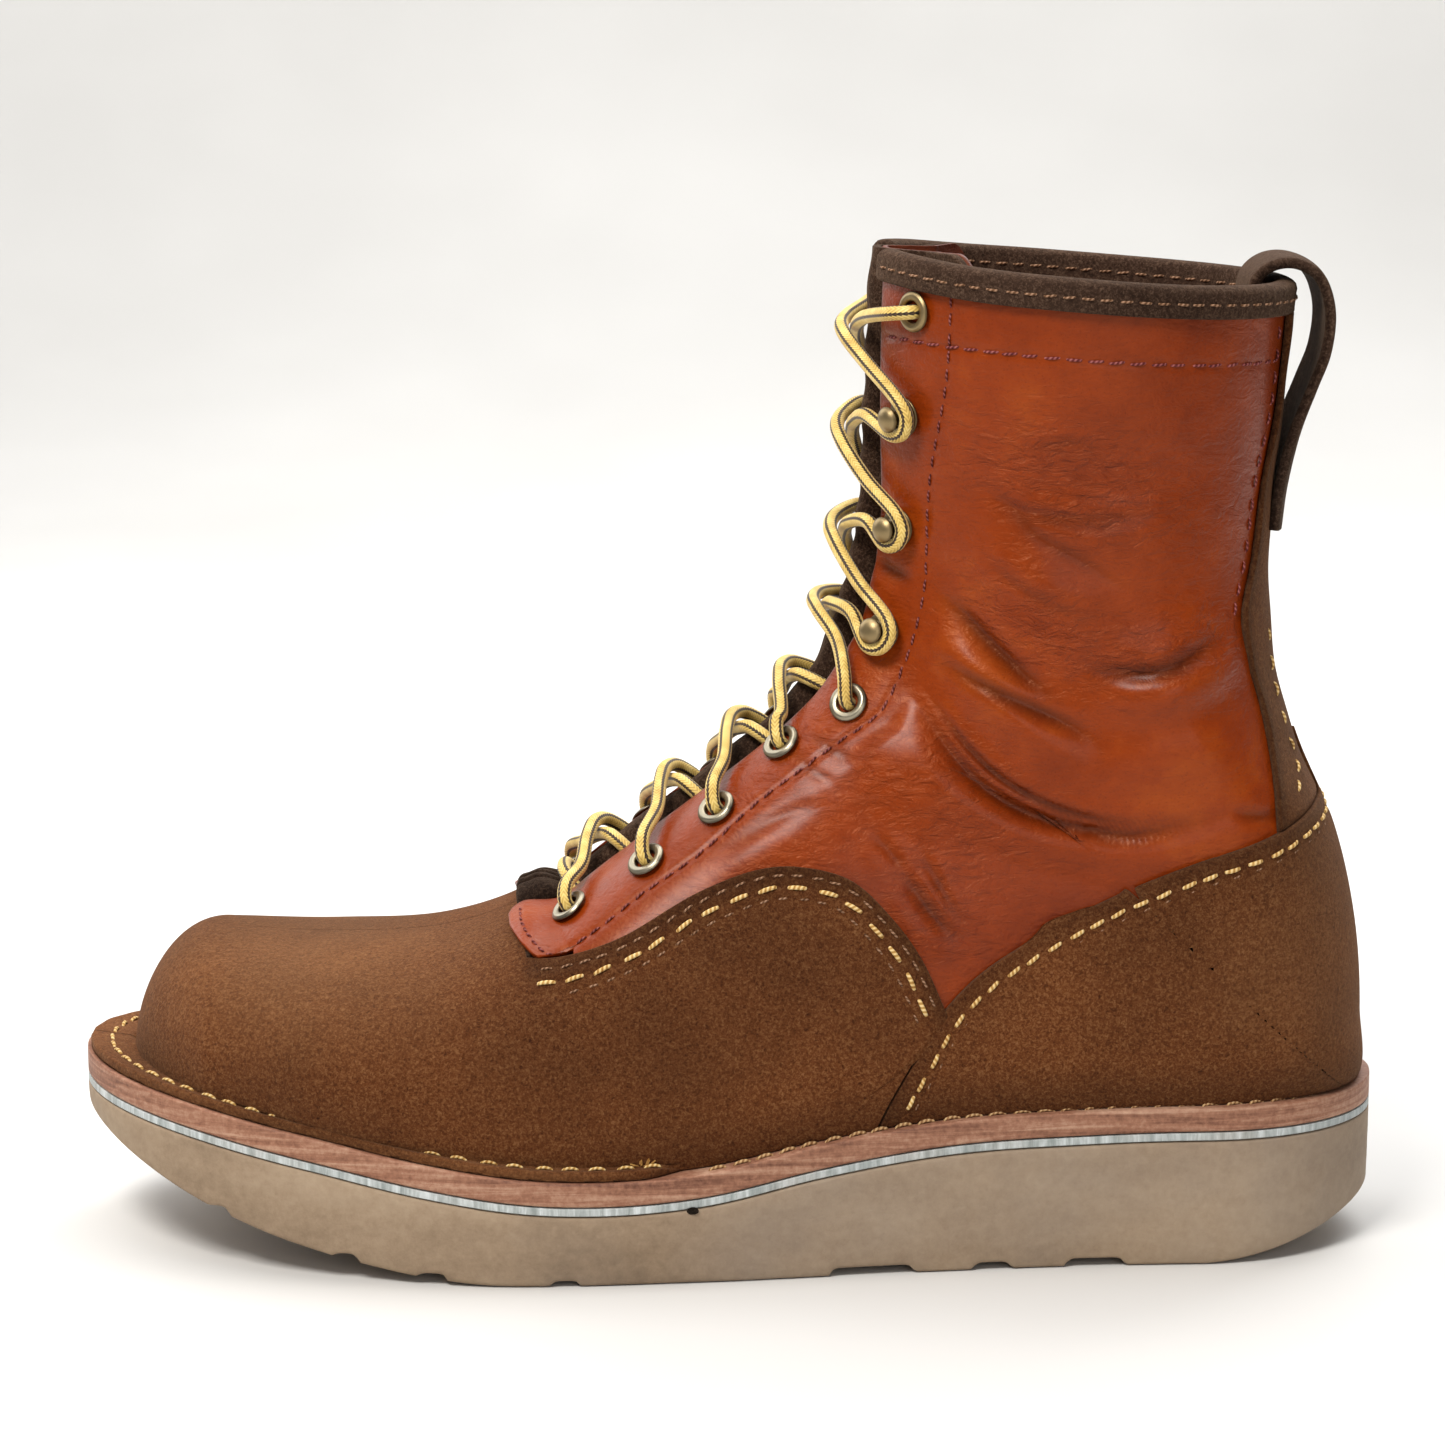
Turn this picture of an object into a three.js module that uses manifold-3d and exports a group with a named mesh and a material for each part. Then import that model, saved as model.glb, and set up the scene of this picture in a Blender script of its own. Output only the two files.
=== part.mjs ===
// A lace-up leather work boot (the left one of a pair) on a flat crepe wedge sole.
// Millimetres. The toe points to -X, the outer side of the foot to -Y, and +Z is up.
// Leather pieces are cut the way a pattern cutter does it: one smooth surface (the last) is offset
// inwards or outwards for each layer, and the layer is trimmed with an outline drawn in side view.
import * as THREE from "three";
import { mergeVertices } from "three/addons/utils/BufferGeometryUtils.js";
import Module from "manifold-3d";

const wasm = await Module();
wasm.setup();

// ---------------------------------------------------------------- driving dimensions
const GAP = 0.3; // clearance between touching pieces
const SOLE_LENGTH = 312;
const SOLE_END = SOLE_LENGTH / 2;
const TOE_ROUND = 58; // length over which the sole outline rounds off at the toe
const HEEL_ROUND = 44;
const MIDSOLE = 5.7; // leather midsole thickness
const BUMPER = 1.8; // thin rubber layer under the midsole
const LAST_TOE = -141.5;
const LAST_HEEL = 149;
const LEATHER = 2; // quarter leather thickness
const OVERLAY = 2.2; // roughout vamp and counter thickness
const STAY = 1.3; // facing stay inside the quarter
const STIFFENER = 2;
const LACING_GAP = 26; // distance between the two facing edges
const BINDING_HEIGHT = 5.5;
const EYELET_HOLE = 5.2;
const EYELET_FLANGE = 9.5;
const LACE = 3.4;
const LACE_SIDES = 8; // on the free ends
const LACED_SIDES = 6; // on the long laced part
const STRAP_WIDTH = 25;
const STRAP = 2.6;

// ---------------------------------------------------------------- helpers: curves
// A smooth curve y(x) through a few points.
function profile(points) {
  const last = points.length - 1;
  const rise = (i) => (points[i + 1][1] - points[i][1]) / (points[i + 1][0] - points[i][0]);
  const slopes = points.map((p, i) => {
    if (i === 0) return rise(0);
    if (i === last) return rise(last - 1);
    const before = p[0] - points[i - 1][0];
    const after = points[i + 1][0] - p[0];
    return (rise(i - 1) * after + rise(i) * before) / (before + after);
  });
  return (x) => {
    if (x <= points[0][0]) return points[0][1] + slopes[0] * (x - points[0][0]);
    if (x >= points[last][0]) return points[last][1] + slopes[last] * (x - points[last][0]);
    const i = points.findIndex((p) => p[0] > x) - 1;
    const width = points[i + 1][0] - points[i][0];
    const s = (x - points[i][0]) / width;
    const keep = (1 + 2 * s) * (1 - s) ** 2;
    return keep * points[i][1] + (1 - keep) * points[i + 1][1]
      + width * (s * (1 - s) ** 2 * slopes[i] + s * s * (s - 1) * slopes[i + 1]);
  };
}

const clamp = (value, low, high) => Math.min(Math.max(value, low), high);
// A quarter-circle rise from 0 to 1.
const rounded = (q) => Math.sqrt(Math.max(0, 1 - (1 - clamp(q, 0, 1)) ** 2));

// ---------------------------------------------------------------- the sole's outline and levels
const soleWidth = profile([[-156, 48], [-110, 51.5], [-55, 55], [0, 47.5], [40, 41.5], [90, 39.5], [156, 39]]);
const soleMiddle = profile([[-156, 7], [-110, 3], [-50, -4], [0, -7], [40, -6.5], [90, -2.5], [156, -1]]);
const soleHalf = (x) =>
  soleWidth(x) * rounded((x + SOLE_END) / TOE_ROUND) * rounded((SOLE_END - x) / HEEL_ROUND);
// Top of the midsole, which everything in the upper stands on.
const soleTop = profile([
  [-156, 43], [-123, 38.5], [-100, 34.5], [-71, 29], [-39, 25.2], [-6, 26.5], [22, 32.2], [52, 36.5],
  [87, 38], [156, 38.5],
]);
// Underside of the wedge: toe spring, a flat tread and a bevelled heel.
const TREAD_FRONT = -48;
const TREAD_BACK = 112;
function treadHeight(x) {
  if (x < TREAD_FRONT) return 30 * ((TREAD_FRONT - x) / 108) ** 1.9;
  if (x > TREAD_BACK) return 12 * ((x - TREAD_BACK) / 44) ** 1.7;
  return 0;
}
// Shallow recesses moulded across the tread, as [front, back, depth].
const RECESSES = [
  [-122, -117, 1.2], [-92, -86, 1.4], [-72, -65, 1.3], [-41, -34, 1.2], [24, 44, 1.8], [58, 67, 1.6],
  [80, 94, 1.8],
];

// ---------------------------------------------------------------- the last: outer face of the quarter leather
const TOE_STATIONS = 3; // the rounded toe end takes the first three units of t
const lastWidth = profile([[LAST_TOE, 44], [-60, 46.5], [0, 39.5], [40, 35], [90, 34], [LAST_HEEL, 34]]);
const featherHalf = (x) =>
  lastWidth(x) * rounded((x - LAST_TOE) / 46) * rounded((LAST_HEEL - x) / 40);
const FEATHER_DROP = 1.2; // the last reaches this far below the midsole's top, where every layer is cut level
const featherTop = (x) => soleTop(x) - FEATHER_DROP;
const SWELL = 1.06; // the forefoot bulges this much past its feather line
const onSole = (frontX, frontZ, x, belly, half) =>
  [frontX, frontZ, x, featherTop(x), half ?? SWELL * featherHalf(x), belly];
// Each section runs from the front line to the bottom or back line:
// [front x, front z, back x, back z, half width, where along it the section is widest]
const SECTIONS = [
  onSole(-121.5, 69.8, -121.5, 0.75), onSole(-95, 69.3, -95, 0.75), onSole(-68, 71.2, -68, 0.75),
  onSole(-47, 78.5, -42, 0.74), onSole(-28, 93, -16, 0.72, 44.5), onSole(-8, 108.5, 14, 0.72, 41),
  onSole(9, 122.5, 48, 0.72, 39.5), onSole(19.5, 134, 86, 0.74, 38.5), onSole(25.5, 146, 124, 0.76, 38.3),
  onSole(28, 153.5, LAST_HEEL, 0.74, 38),
  [29.8, 161, 150.4, 55, 37.8, 0.72], [31.3, 169, 148.6, 77, 37.3, 0.7], [32.3, 178, 143.5, 98.5, 36.8, 0.68],
  [32.8, 188, 134.5, 119.5, 36.5, 0.62], [33.2, 199, 128.8, 141, 37.5, 0.56],
  [33.7, 211, 127, 165, 39.5, 0.53], [34.2, 224, 129.3, 196, 42, 0.51], [35, 238, 132.3, 231, 44, 0.5],
];
const TOE_DEPTH = SECTIONS[0][2] - LAST_TOE; // length of the rounded toe end
const sectionCurve = [0, 1, 2, 3, 4, 5].map((k) =>
  profile(SECTIONS.map((s, i) => [TOE_STATIONS + i, s[k]])));
const CLOSED_FROM = TOE_STATIONS + 9; // from here up the sections are closed rings
const TOP = TOE_STATIONS + SECTIONS.length - 1;
// Exponent of the rounded sections: squarer over the instep, where the front is broad and flat.
const squareness = profile([[0, 2.3], [5, 2.5], [6.5, 2.85], [9, 2.75], [11, 2.35], [14, 2.2], [20, 2.2]]);

function section(t) {
  let [frontX, frontZ, backX, backZ, half, belly] = sectionCurve.map((curve) => curve(t));
  if (t < TOE_STATIONS) {
    const angle = (Math.PI / 2) * (t / TOE_STATIONS);
    backX = LAST_TOE + TOE_DEPTH * (1 - Math.cos(angle));
    backZ = featherTop(backX);
    frontX = backX;
    frontZ = backZ + (SECTIONS[0][1] - SECTIONS[0][3]) * Math.sin(angle);
    half = SWELL * featherHalf(backX);
    belly = SECTIONS[0][5];
  }
  const closed = t >= CLOSED_FROM;
  const power = 2 / squareness(t);
  const share = closed ? 0 : Math.min(featherHalf(backX) / half, 0.999);
  const reach = Math.PI - Math.asin(share ** (1 / power));
  const swerve = soleMiddle(backX);
  const frontMiddle = swerve * clamp((TOE_STATIONS + 3 - t) / 3, 0, 1);
  const backMiddle = swerve * clamp((TOE_STATIONS + 15 - t) / 8, 0, 1);
  return { frontX, frontZ, backX, backZ, half, belly, reach, frontMiddle, backMiddle, closed, power };
}

// A point of the last; v runs from -1 (outer side's bottom edge) over 0 (front line) to 1 (inner side).
function lastPoint(t, v) {
  const s = section(t);
  let turn = v * s.reach;
  if (Math.abs(turn) > Math.PI) turn -= 2 * Math.PI * Math.sign(turn);
  const angle = Math.abs(turn);
  const swing = Math.abs(Math.cos(angle)) ** s.power;
  const end = Math.abs(Math.cos(s.reach)) ** s.power;
  const along = angle <= Math.PI / 2
    ? s.belly * (1 - swing)
    : s.belly + (1 - s.belly) * (swing / Math.max(end, 1e-6));
  return new THREE.Vector3(
    s.frontX + (s.backX - s.frontX) * along,
    s.frontMiddle + (s.backMiddle - s.frontMiddle) * along
      + Math.sign(turn) * s.half * Math.abs(Math.sin(angle)) ** s.power,
    s.frontZ + (s.backZ - s.frontZ) * along,
  );
}

const STEP = 0.01;
function lastNormal(t, v) {
  const alongT = lastPoint(t + STEP, v).sub(lastPoint(t - STEP, v));
  const alongV = lastPoint(t, v + STEP).sub(lastPoint(t, v - STEP));
  return alongT.cross(alongV).normalize();
}
const onLast = (t, v, offset) => lastPoint(t, v).addScaledVector(lastNormal(t, v), offset);

// The section and the place along it of a point given in side view.
function locate(x, z) {
  let low = TOE_STATIONS;
  let high = TOP + 1;
  while (high - low > 1e-6) {
    const t = (low + high) / 2;
    const s = section(t);
    const ahead = (s.backX - s.frontX) * (z - s.frontZ) - (s.backZ - s.frontZ) * (x - s.frontX);
    if (ahead > 0) low = t;
    else high = t;
  }
  const s = section(low);
  const length = Math.hypot(s.backX - s.frontX, s.backZ - s.frontZ);
  const along = clamp(Math.hypot(x - s.frontX, z - s.frontZ) / length, 0, 1);
  const end = Math.abs(Math.cos(s.reach)) ** s.power;
  const swing = along <= s.belly ? 1 - along / s.belly : -((along - s.belly) / (1 - s.belly)) * end;
  const angle = Math.acos(Math.sign(swing) * Math.abs(swing) ** (1 / s.power));
  return { t: low, v: angle / s.reach };
}

// v of the point at a distance from the boot's centre plane, on the front half of section t.
function across(t, distance) {
  const s = section(t);
  return Math.asin(clamp(distance / s.half, 0, 1) ** (1 / s.power)) / s.reach;
}

// ---------------------------------------------------------------- helpers: solids
function solid(geometry) {
  const bare = geometry.clone();
  for (const name of Object.keys(bare.attributes)) if (name !== "position") bare.deleteAttribute(name);
  const merged = mergeVertices(bare, 1e-4);
  const corners = Array.from(merged.index.array);
  const kept = [];
  for (let i = 0; i < corners.length; i += 3) {
    const [a, b, c] = corners.slice(i, i + 3);
    if (a !== b && b !== c && a !== c) kept.push(a, b, c);
  }
  return new wasm.Manifold(new wasm.Mesh({
    numProp: 3,
    vertProperties: new Float32Array(merged.attributes.position.array),
    triVerts: new Uint32Array(kept),
  }));
}

function geometryOf(body) {
  const mesh = body.getMesh();
  const geometry = new THREE.BufferGeometry();
  geometry.setAttribute("position", new THREE.BufferAttribute(new Float32Array(mesh.vertProperties), 3));
  geometry.setIndex(new THREE.BufferAttribute(new Uint32Array(mesh.triVerts), 1));
  return geometry;
}

// A closed skin from quads and triangles given as lists of points.
function skin(faces) {
  const positions = [];
  for (const face of faces) {
    for (let i = 1; i + 1 < face.length; i += 1) {
      for (const point of [face[0], face[i], face[i + 1]]) positions.push(point.x, point.y, point.z);
    }
  }
  const geometry = new THREE.BufferGeometry();
  geometry.setAttribute("position", new THREE.Float32BufferAttribute(positions, 3));
  return solid(geometry);
}

// Trimming can leave crumbs: this keeps the piece itself.
const largest = (body) => body.decompose().reduce((a, b) => (a.volume() > b.volume() ? a : b));

// A sheet with thickness: outer and inner are grids of points; joined[i] says that the last and
// first point of row i are the same seam, so no edge is closed there.
function sheet(outer, inner, joined = () => false) {
  const faces = [];
  const rows = outer.length - 1;
  const columns = outer[0].length - 1;
  for (let i = 0; i < rows; i += 1) {
    for (let j = 0; j < columns; j += 1) {
      faces.push([outer[i][j], outer[i + 1][j], outer[i + 1][j + 1], outer[i][j + 1]]);
      faces.push([inner[i][j], inner[i][j + 1], inner[i + 1][j + 1], inner[i + 1][j]]);
    }
    if (!joined(i)) {
      faces.push([outer[i][0], inner[i][0], inner[i + 1][0], outer[i + 1][0]]);
      faces.push([outer[i][columns], outer[i + 1][columns], inner[i + 1][columns], inner[i][columns]]);
    }
  }
  for (let j = 0; j < columns; j += 1) {
    faces.push([outer[0][j], outer[0][j + 1], inner[0][j + 1], inner[0][j]]);
    faces.push([outer[rows][j], inner[rows][j], inner[rows][j + 1], outer[rows][j + 1]]);
  }
  return skin(faces);
}

// Rings of points joined one after another, with both ends closed.
function loft(rings) {
  const faces = [rings[0].slice().reverse(), rings[rings.length - 1].slice()];
  for (let i = 0; i + 1 < rings.length; i += 1) {
    rings[i].forEach((point, j) => {
      const next = (j + 1) % rings[i].length;
      faces.push([point, rings[i][next], rings[i + 1][next], rings[i + 1][j]]);
    });
  }
  return skin(faces);
}

// A pattern drawn in side view (x, z), as deep as the two y values say.
function pattern(points, yLow, yHigh) {
  const shape = new THREE.Shape(points.map(([x, z]) => new THREE.Vector2(x, z)));
  const geometry = new THREE.ExtrudeGeometry(shape, { depth: yHigh - yLow, bevelEnabled: false });
  geometry.rotateX(Math.PI / 2);
  geometry.translate(0, yHigh, 0);
  return solid(geometry);
}

// Points of a smooth open curve through hand-picked side-view points.
function smooth(points, divisions) {
  const curve = new THREE.SplineCurve(points.map(([x, z]) => new THREE.Vector2(x, z)));
  return curve.getPoints(divisions).map((p) => [p.x, p.y]);
}

const FAR = 400;
const groundLine = Array.from({ length: 41 }, (_, i) => -200 + 10 * i).map((x) => [x, soleTop(x) + GAP]);
const belowUpper = pattern([...groundLine, [200, -100], [-200, -100]], -FAR, FAR);
const TOE_TIP = 0.12;
const V_SIDE = [0.08, 0.18, 0.3, 0.45, 0.63, 0.82, 1];
const V_LINES = [...V_SIDE.map((v) => -v).reverse(), 0, ...V_SIDE];
const PUFF_BACK = TOE_STATIONS + 1;
const STEP_BACK = PUFF_BACK + 0.35; // behind the puff the lining has stepped out against the vamp
const T_LINES = [TOE_TIP, 0.7, 1.3, 1.9, 2.5, TOE_STATIONS, PUFF_BACK, STEP_BACK, TOE_STATIONS + 2];
for (let t = TOE_STATIONS + 2.5; t < CLOSED_FROM; t += 0.5) T_LINES.push(t);
for (let t = CLOSED_FROM; t <= TOP + 1; t += 1) T_LINES.push(t);

// The whole layer of material between two offsets from the last, from section t0 to section t1.
function layer(inside, outside, t0, t1) {
  const lines = [t0, ...T_LINES.filter((t) => t > t0 + 0.05 && t < t1 - 0.05), t1];
  const grid = (offset) => lines.map((t) => V_LINES.map((v) => onLast(t, v, offset)));
  return sheet(grid(outside), grid(inside), (i) => lines[i] >= CLOSED_FROM).subtract(belowUpper);
}

const root = new THREE.Group();
root.name = "fire_boot";
function add(name, body, colour, roughness, metalness = 0) {
  const geometry = body.isBufferGeometry ? body : geometryOf(body);
  const material = new THREE.MeshStandardMaterial({ color: colour, roughness, metalness });
  const mesh = new THREE.Mesh(geometry, material);
  mesh.name = name;
  root.add(mesh);
  return mesh;
}

const ROUGHOUT = 0x5d3c24;
const REDWOOD = 0xa8451f;
const DARK_ROUGHOUT = 0x3a281f;
const CREPE = 0xb7a68b;
const NICKEL = 0x9a917f;
const BRASS = 0x6e5733;
const LACE_YELLOW = 0xc9a545;

// ---------------------------------------------------------------- sole layers
const SOLE_STATIONS = 32;
const lengthwise = (from, to, count, place) => Array.from({ length: count + 1 }, (_, i) => {
  const x = from + ((to - from) * (1 - Math.cos((Math.PI * i) / count))) / 2;
  return place(x);
});
// A plate that follows the sole: inset from an outline, between two heights.
function plate(from, to, halfAt, low, high, count = SOLE_STATIONS, undercut = 0) {
  const rings = lengthwise(from, to, count, (x) => {
    const half = Math.max(halfAt(x), 0.6);
    const foot = Math.max(half - undercut, 0.5);
    const middle = soleMiddle(x);
    return [
      new THREE.Vector3(x, middle - foot, low(x)), new THREE.Vector3(x, middle + foot, low(x)),
      new THREE.Vector3(x, middle + half, high(x)), new THREE.Vector3(x, middle - half, high(x)),
    ];
  });
  return loft(rings);
}
const bumperBottom = (x) => soleTop(x) - MIDSOLE - GAP - BUMPER;
const crepeTop = (x) => bumperBottom(x) - GAP;
const UNDERCUT = 1.6; // the crepe's foot stands in this much
let outsole = plate(-SOLE_END, SOLE_END, soleHalf, treadHeight, crepeTop, 44, UNDERCUT);
for (const [front, back, depth] of RECESSES) {
  const middle = (front + back) / 2;
  const floor = treadHeight(middle);
  const cut = [[front - 2, floor - 9], [front, floor], [front + 1.5, floor + depth],
    [back - 1.5, floor + depth], [back, floor], [back + 2, floor - 9]];
  outsole = outsole.subtract(pattern(cut, -FAR, FAR));
}
add("outsole_crepe_wedge", outsole, CREPE, 0.9);
add("rubber_bumper_layer",
  plate(-SOLE_END, SOLE_END, soleHalf, bumperBottom, (x) => bumperBottom(x) + BUMPER), 0xb9bdbc, 0.8);
add("midsole_leather",
  plate(-SOLE_END, SOLE_END, soleHalf, (x) => soleTop(x) - MIDSOLE, soleTop), 0x8e5236, 0.8);

// ---------------------------------------------------------------- inside the bottom: filler, shank, insole
const INSIDE = 5.4; // inset of the insole from the feather line
const FILLER = 1.8;
const INSOLE = 2.4;
const insideHalf = (x) => featherHalf(x) - INSIDE;
const fillerLow = (x) => soleTop(x) + GAP;
const fillerHigh = (x) => fillerLow(x) + FILLER;
const insoleHigh = (x) => fillerHigh(x) + GAP + INSOLE;
const INSOLE_FRONT = LAST_TOE + 8;
const INSOLE_BACK = LAST_HEEL - 7;
const insoleOutline = (x) => Math.min(insideHalf(x), 60)
  * rounded((x - INSOLE_FRONT) / 14) * rounded((INSOLE_BACK - x) / 14);
const SHANK_FRONT = -8;
const SHANK_BACK = 104;
const SHANK_HALF = 7;
const shankSlot = plate(SHANK_FRONT - GAP, SHANK_BACK + GAP, () => SHANK_HALF + GAP,
  (x) => fillerLow(x) - 3, (x) => fillerHigh(x) + 3, 12);
add("cork_filler",
  plate(INSOLE_FRONT, INSOLE_BACK, insoleOutline, fillerLow, fillerHigh, 30).subtract(shankSlot), 0x8a6a45, 1);
add("steel_shank", plate(SHANK_FRONT, SHANK_BACK, () => SHANK_HALF,
  (x) => fillerLow(x) + GAP, (x) => fillerHigh(x) - GAP, 12), 0x8c8f92, 0.35, 1);
add("insole", plate(INSOLE_FRONT, INSOLE_BACK, insoleOutline,
  (x) => fillerHigh(x) + GAP, insoleHigh, 30), 0xb88a5c, 0.8);

// ---------------------------------------------------------------- pattern lines, in side view
const vampEdge = smooth([[-50, 71], [-39, 73.1], [-24.9, 78.3], [-6.2, 89.1], [7.7, 94.6], [17, 95.5],
  [28.7, 92.7], [38.1, 84.3], [45.1, 74.8], [51, 62]], 15);
const counterEdge = smooth([[170, 114], [141.3, 108.1], [126.3, 102.2], [110.1, 97], [96.3, 91.5],
  [82.4, 85], [68.5, 77.2], [58, 70], [49.9, 61.5], [44.2, 51.9], [36, 37.3], [31, 24]], 17);
const shaftTop = smooth([[10, 239.5], [35.8, 236], [53.8, 233.4], [78.2, 231.2], [102.6, 229.4],
  [127, 228.2], [150, 227.6]], 9);
const shifted = (line, dx, dz) => line.map(([x, z]) => [x + dx, z + dz]);
const FLOOR_Z = -60;
const SKY_Z = 300;
const belowShaftTop = (dz) => pattern(
  [...shifted(shaftTop, 0, dz), [200, shaftTop.at(-1)[1] + dz], [200, FLOOR_Z], [-200, FLOOR_Z],
    [-200, SKY_Z], [10, SKY_Z]], -FAR, FAR);
// In front of the throat the vamp covers everything; behind it, only what lies under its edge.
const vampArea = [...vampEdge, [46, FLOOR_Z], [-200, FLOOR_Z], [-200, SKY_Z], [-50, SKY_Z]];
const counterArea = [...counterEdge, [31, FLOOR_Z], [200, FLOOR_Z], [200, 114]];
// The lacing gap, seen from the side: everything in front of the middle of the shaft.
const lacingZone = pattern([[-49, 60], [40, 60], [62, 150], [66, SKY_Z], [-49, SKY_Z]],
  -LACING_GAP / 2, LACING_GAP / 2);

// ---------------------------------------------------------------- vamp, its edge turned out over the midsole
const FLANGE_BACK = 0.47; // share of the outline, from the toe, where the turned-out edge ends
// It runs from just outside the feather line to just inside the sole's outline: [lengthwise, sideways].
const FLANGE_INNER = [1.0085, 1.028];
const FLANGE_OUTER = [0.994, 0.98];
const FLANGE_STEPS = 36;
const flangeRings = Array.from({ length: FLANGE_STEPS + 1 }, (_, i) => {
  const way = (2 * i) / FLANGE_STEPS - 1; // -1 outer side, 0 toe tip, 1 inner side
  const share = (1 - Math.cos(Math.PI * FLANGE_BACK * Math.abs(way))) / 2;
  const lastX = LAST_TOE + (LAST_HEEL - LAST_TOE) * share;
  const soleX = -SOLE_END + SOLE_LENGTH * share;
  const innerX = lastX * FLANGE_INNER[0];
  const innerY = soleMiddle(lastX) + Math.sign(way) * featherHalf(lastX) * FLANGE_INNER[1];
  const edgeX = soleX * FLANGE_OUTER[0];
  const edgeY = soleMiddle(soleX) + Math.sign(way) * soleHalf(soleX) * FLANGE_OUTER[1];
  const low = (x) => soleTop(x) - FEATHER_DROP;
  const high = (x) => soleTop(x) + GAP + OVERLAY;
  return [
    new THREE.Vector3(innerX, innerY, low(innerX)), new THREE.Vector3(edgeX, edgeY, low(edgeX)),
    new THREE.Vector3(edgeX, edgeY, high(edgeX)), new THREE.Vector3(innerX, innerY, high(innerX)),
  ];
});
const flange = loft(flangeRings);
const overlayOut = GAP + OVERLAY;
const vampShell = layer(GAP, overlayOut, TOE_TIP, TOE_STATIONS + 8)
  .intersect(pattern(vampArea, -FAR, FAR))
  .subtract(pattern(shifted(counterArea, -GAP, GAP), -FAR, FAR));
const inside = layer(-2.5, GAP, TOE_TIP, TOE_STATIONS + 8);
const vamp = largest(vampShell.add(flange).subtract(inside).subtract(belowUpper));
add("vamp", vamp, ROUGHOUT, 0.95);

// ---------------------------------------------------------------- toe puff and vamp lining
const QUARTER_FRONT = TOE_STATIONS + 2.9;
const PUFF = 1.2;
const VAMP_LINING = 1.2;
const STEP_FRONT = PUFF_BACK + 0.05;
const FACET_ROOM = 0.5; // keeps the lining's facets clear of the vamp's behind the step
const liningInner = -PUFF - GAP - VAMP_LINING;
add("toe_puff", layer(-PUFF, 0, TOE_TIP, PUFF_BACK), 0x6b5a48, 0.9);
add("vamp_lining", layer(liningInner, -PUFF - GAP, TOE_TIP, STEP_BACK)
  .add(layer(liningInner, -FACET_ROOM, STEP_FRONT, STEP_BACK))
  .add(layer(-FACET_ROOM - VAMP_LINING, -FACET_ROOM, STEP_FRONT, QUARTER_FRONT - 0.05)), 0xa98058, 0.9);

// ---------------------------------------------------------------- quarters
const SEAM = 0.15;
const halfSpace = (side) => (side < 0 ? [-FAR, -SEAM] : [SEAM, FAR]);
const SIDES = [["lateral", -1], ["medial", 1]];
// Rows of the lacing, in side view: five eyelets, three hooks and a top eyelet.
const LOWER_EYELETS = [[-36.8, 82.8], [-18.6, 94.6], [-2.1, 106.7], [13.2, 121.3], [28.9, 131.5]];
const HOOKS = [[37.2, 148.1], [40.7, 172.9], [41.9, 199.5]];
const TOP_EYELET = [43.6, 224.1];
const ROWS = [...LOWER_EYELETS, ...HOOKS, TOP_EYELET];
const EYELET_ROWS = [0, 1, 2, 3, 4, 8];
const seats = ROWS.map(([x, z]) => locate(x, z));
const SEAT_LIFT = 0.7; // the metal stands this much clear of the faceted leather
// A frame on the last at a lacing row: its point, and z along the outward normal.
function seat(row, side) {
  const { t, v } = seats[row];
  const point = onLast(t, side * v, SEAT_LIFT);
  const normal = lastNormal(t, side * v);
  const turn = new THREE.Quaternion().setFromUnitVectors(new THREE.Vector3(0, 0, 1), normal);
  return { t, v, point, normal, turn };
}
const BARREL = EYELET_HOLE / 2 + 0.5;
function punch(body, side) {
  return EYELET_ROWS.reduce((rest, row) => {
    const place = seat(row, side);
    const drill = new THREE.CylinderGeometry(BARREL + GAP, BARREL + GAP, 24, 8);
    drill.rotateX(Math.PI / 2).applyQuaternion(place.turn).translate(...place.point.toArray());
    return rest.subtract(solid(drill));
  }, body);
}
const quarterLayer = layer(-LEATHER, 0, QUARTER_FRONT, TOP + 1)
  .intersect(belowShaftTop(0))
  .subtract(lacingZone);
for (const [name, side] of SIDES) {
  const wholeSide = [[-200, FLOOR_Z], [200, FLOOR_Z], [200, SKY_Z], [-200, SKY_Z]];
  const half = quarterLayer.intersect(pattern(wholeSide, ...halfSpace(side)));
  add("quarter_" + name, punch(half, side), REDWOOD, 0.4);
}

// ---------------------------------------------------------------- facing stays inside the quarters
const STAY_WIDTH = 30; // from the boot's centre plane
const stayIn = -LEATHER - GAP - STAY;
const stayLayer = layer(stayIn, -LEATHER - GAP, QUARTER_FRONT + 0.2, TOP + 1)
  .intersect(belowShaftTop(-BINDING_HEIGHT - 3 * GAP))
  .subtract(lacingZone);
for (const [name, side] of SIDES) {
  const facing = pattern([[-49, 60], [40, 60], [58, 150], [58, SKY_Z], [-49, SKY_Z]],
    ...(side < 0 ? [-STAY_WIDTH - 2, -SEAM] : [SEAM, STAY_WIDTH + 2]));
  add("facing_stay_" + name, punch(largest(stayLayer.intersect(facing)), side), 0x6f4a2e, 0.8);
}

// ---------------------------------------------------------------- counter: outer cover and inner stiffener
const counter = layer(GAP, overlayOut, TOE_STATIONS + 4, TOP - 2)
  .intersect(pattern(counterArea, -FAR, FAR));
add("counter_cover", counter, ROUGHOUT, 0.95);
const stiffenerArea = [[92, FLOOR_Z], [92, 60], [108, 76], [126, 86], [170, 92], [170, FLOOR_Z]];
add("heel_stiffener", layer(-LEATHER - GAP - STIFFENER, -LEATHER - GAP, TOE_STATIONS + 5, TOP - 3)
  .intersect(pattern(stiffenerArea, -FAR, FAR)), 0x9b7a55, 0.85);

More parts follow.
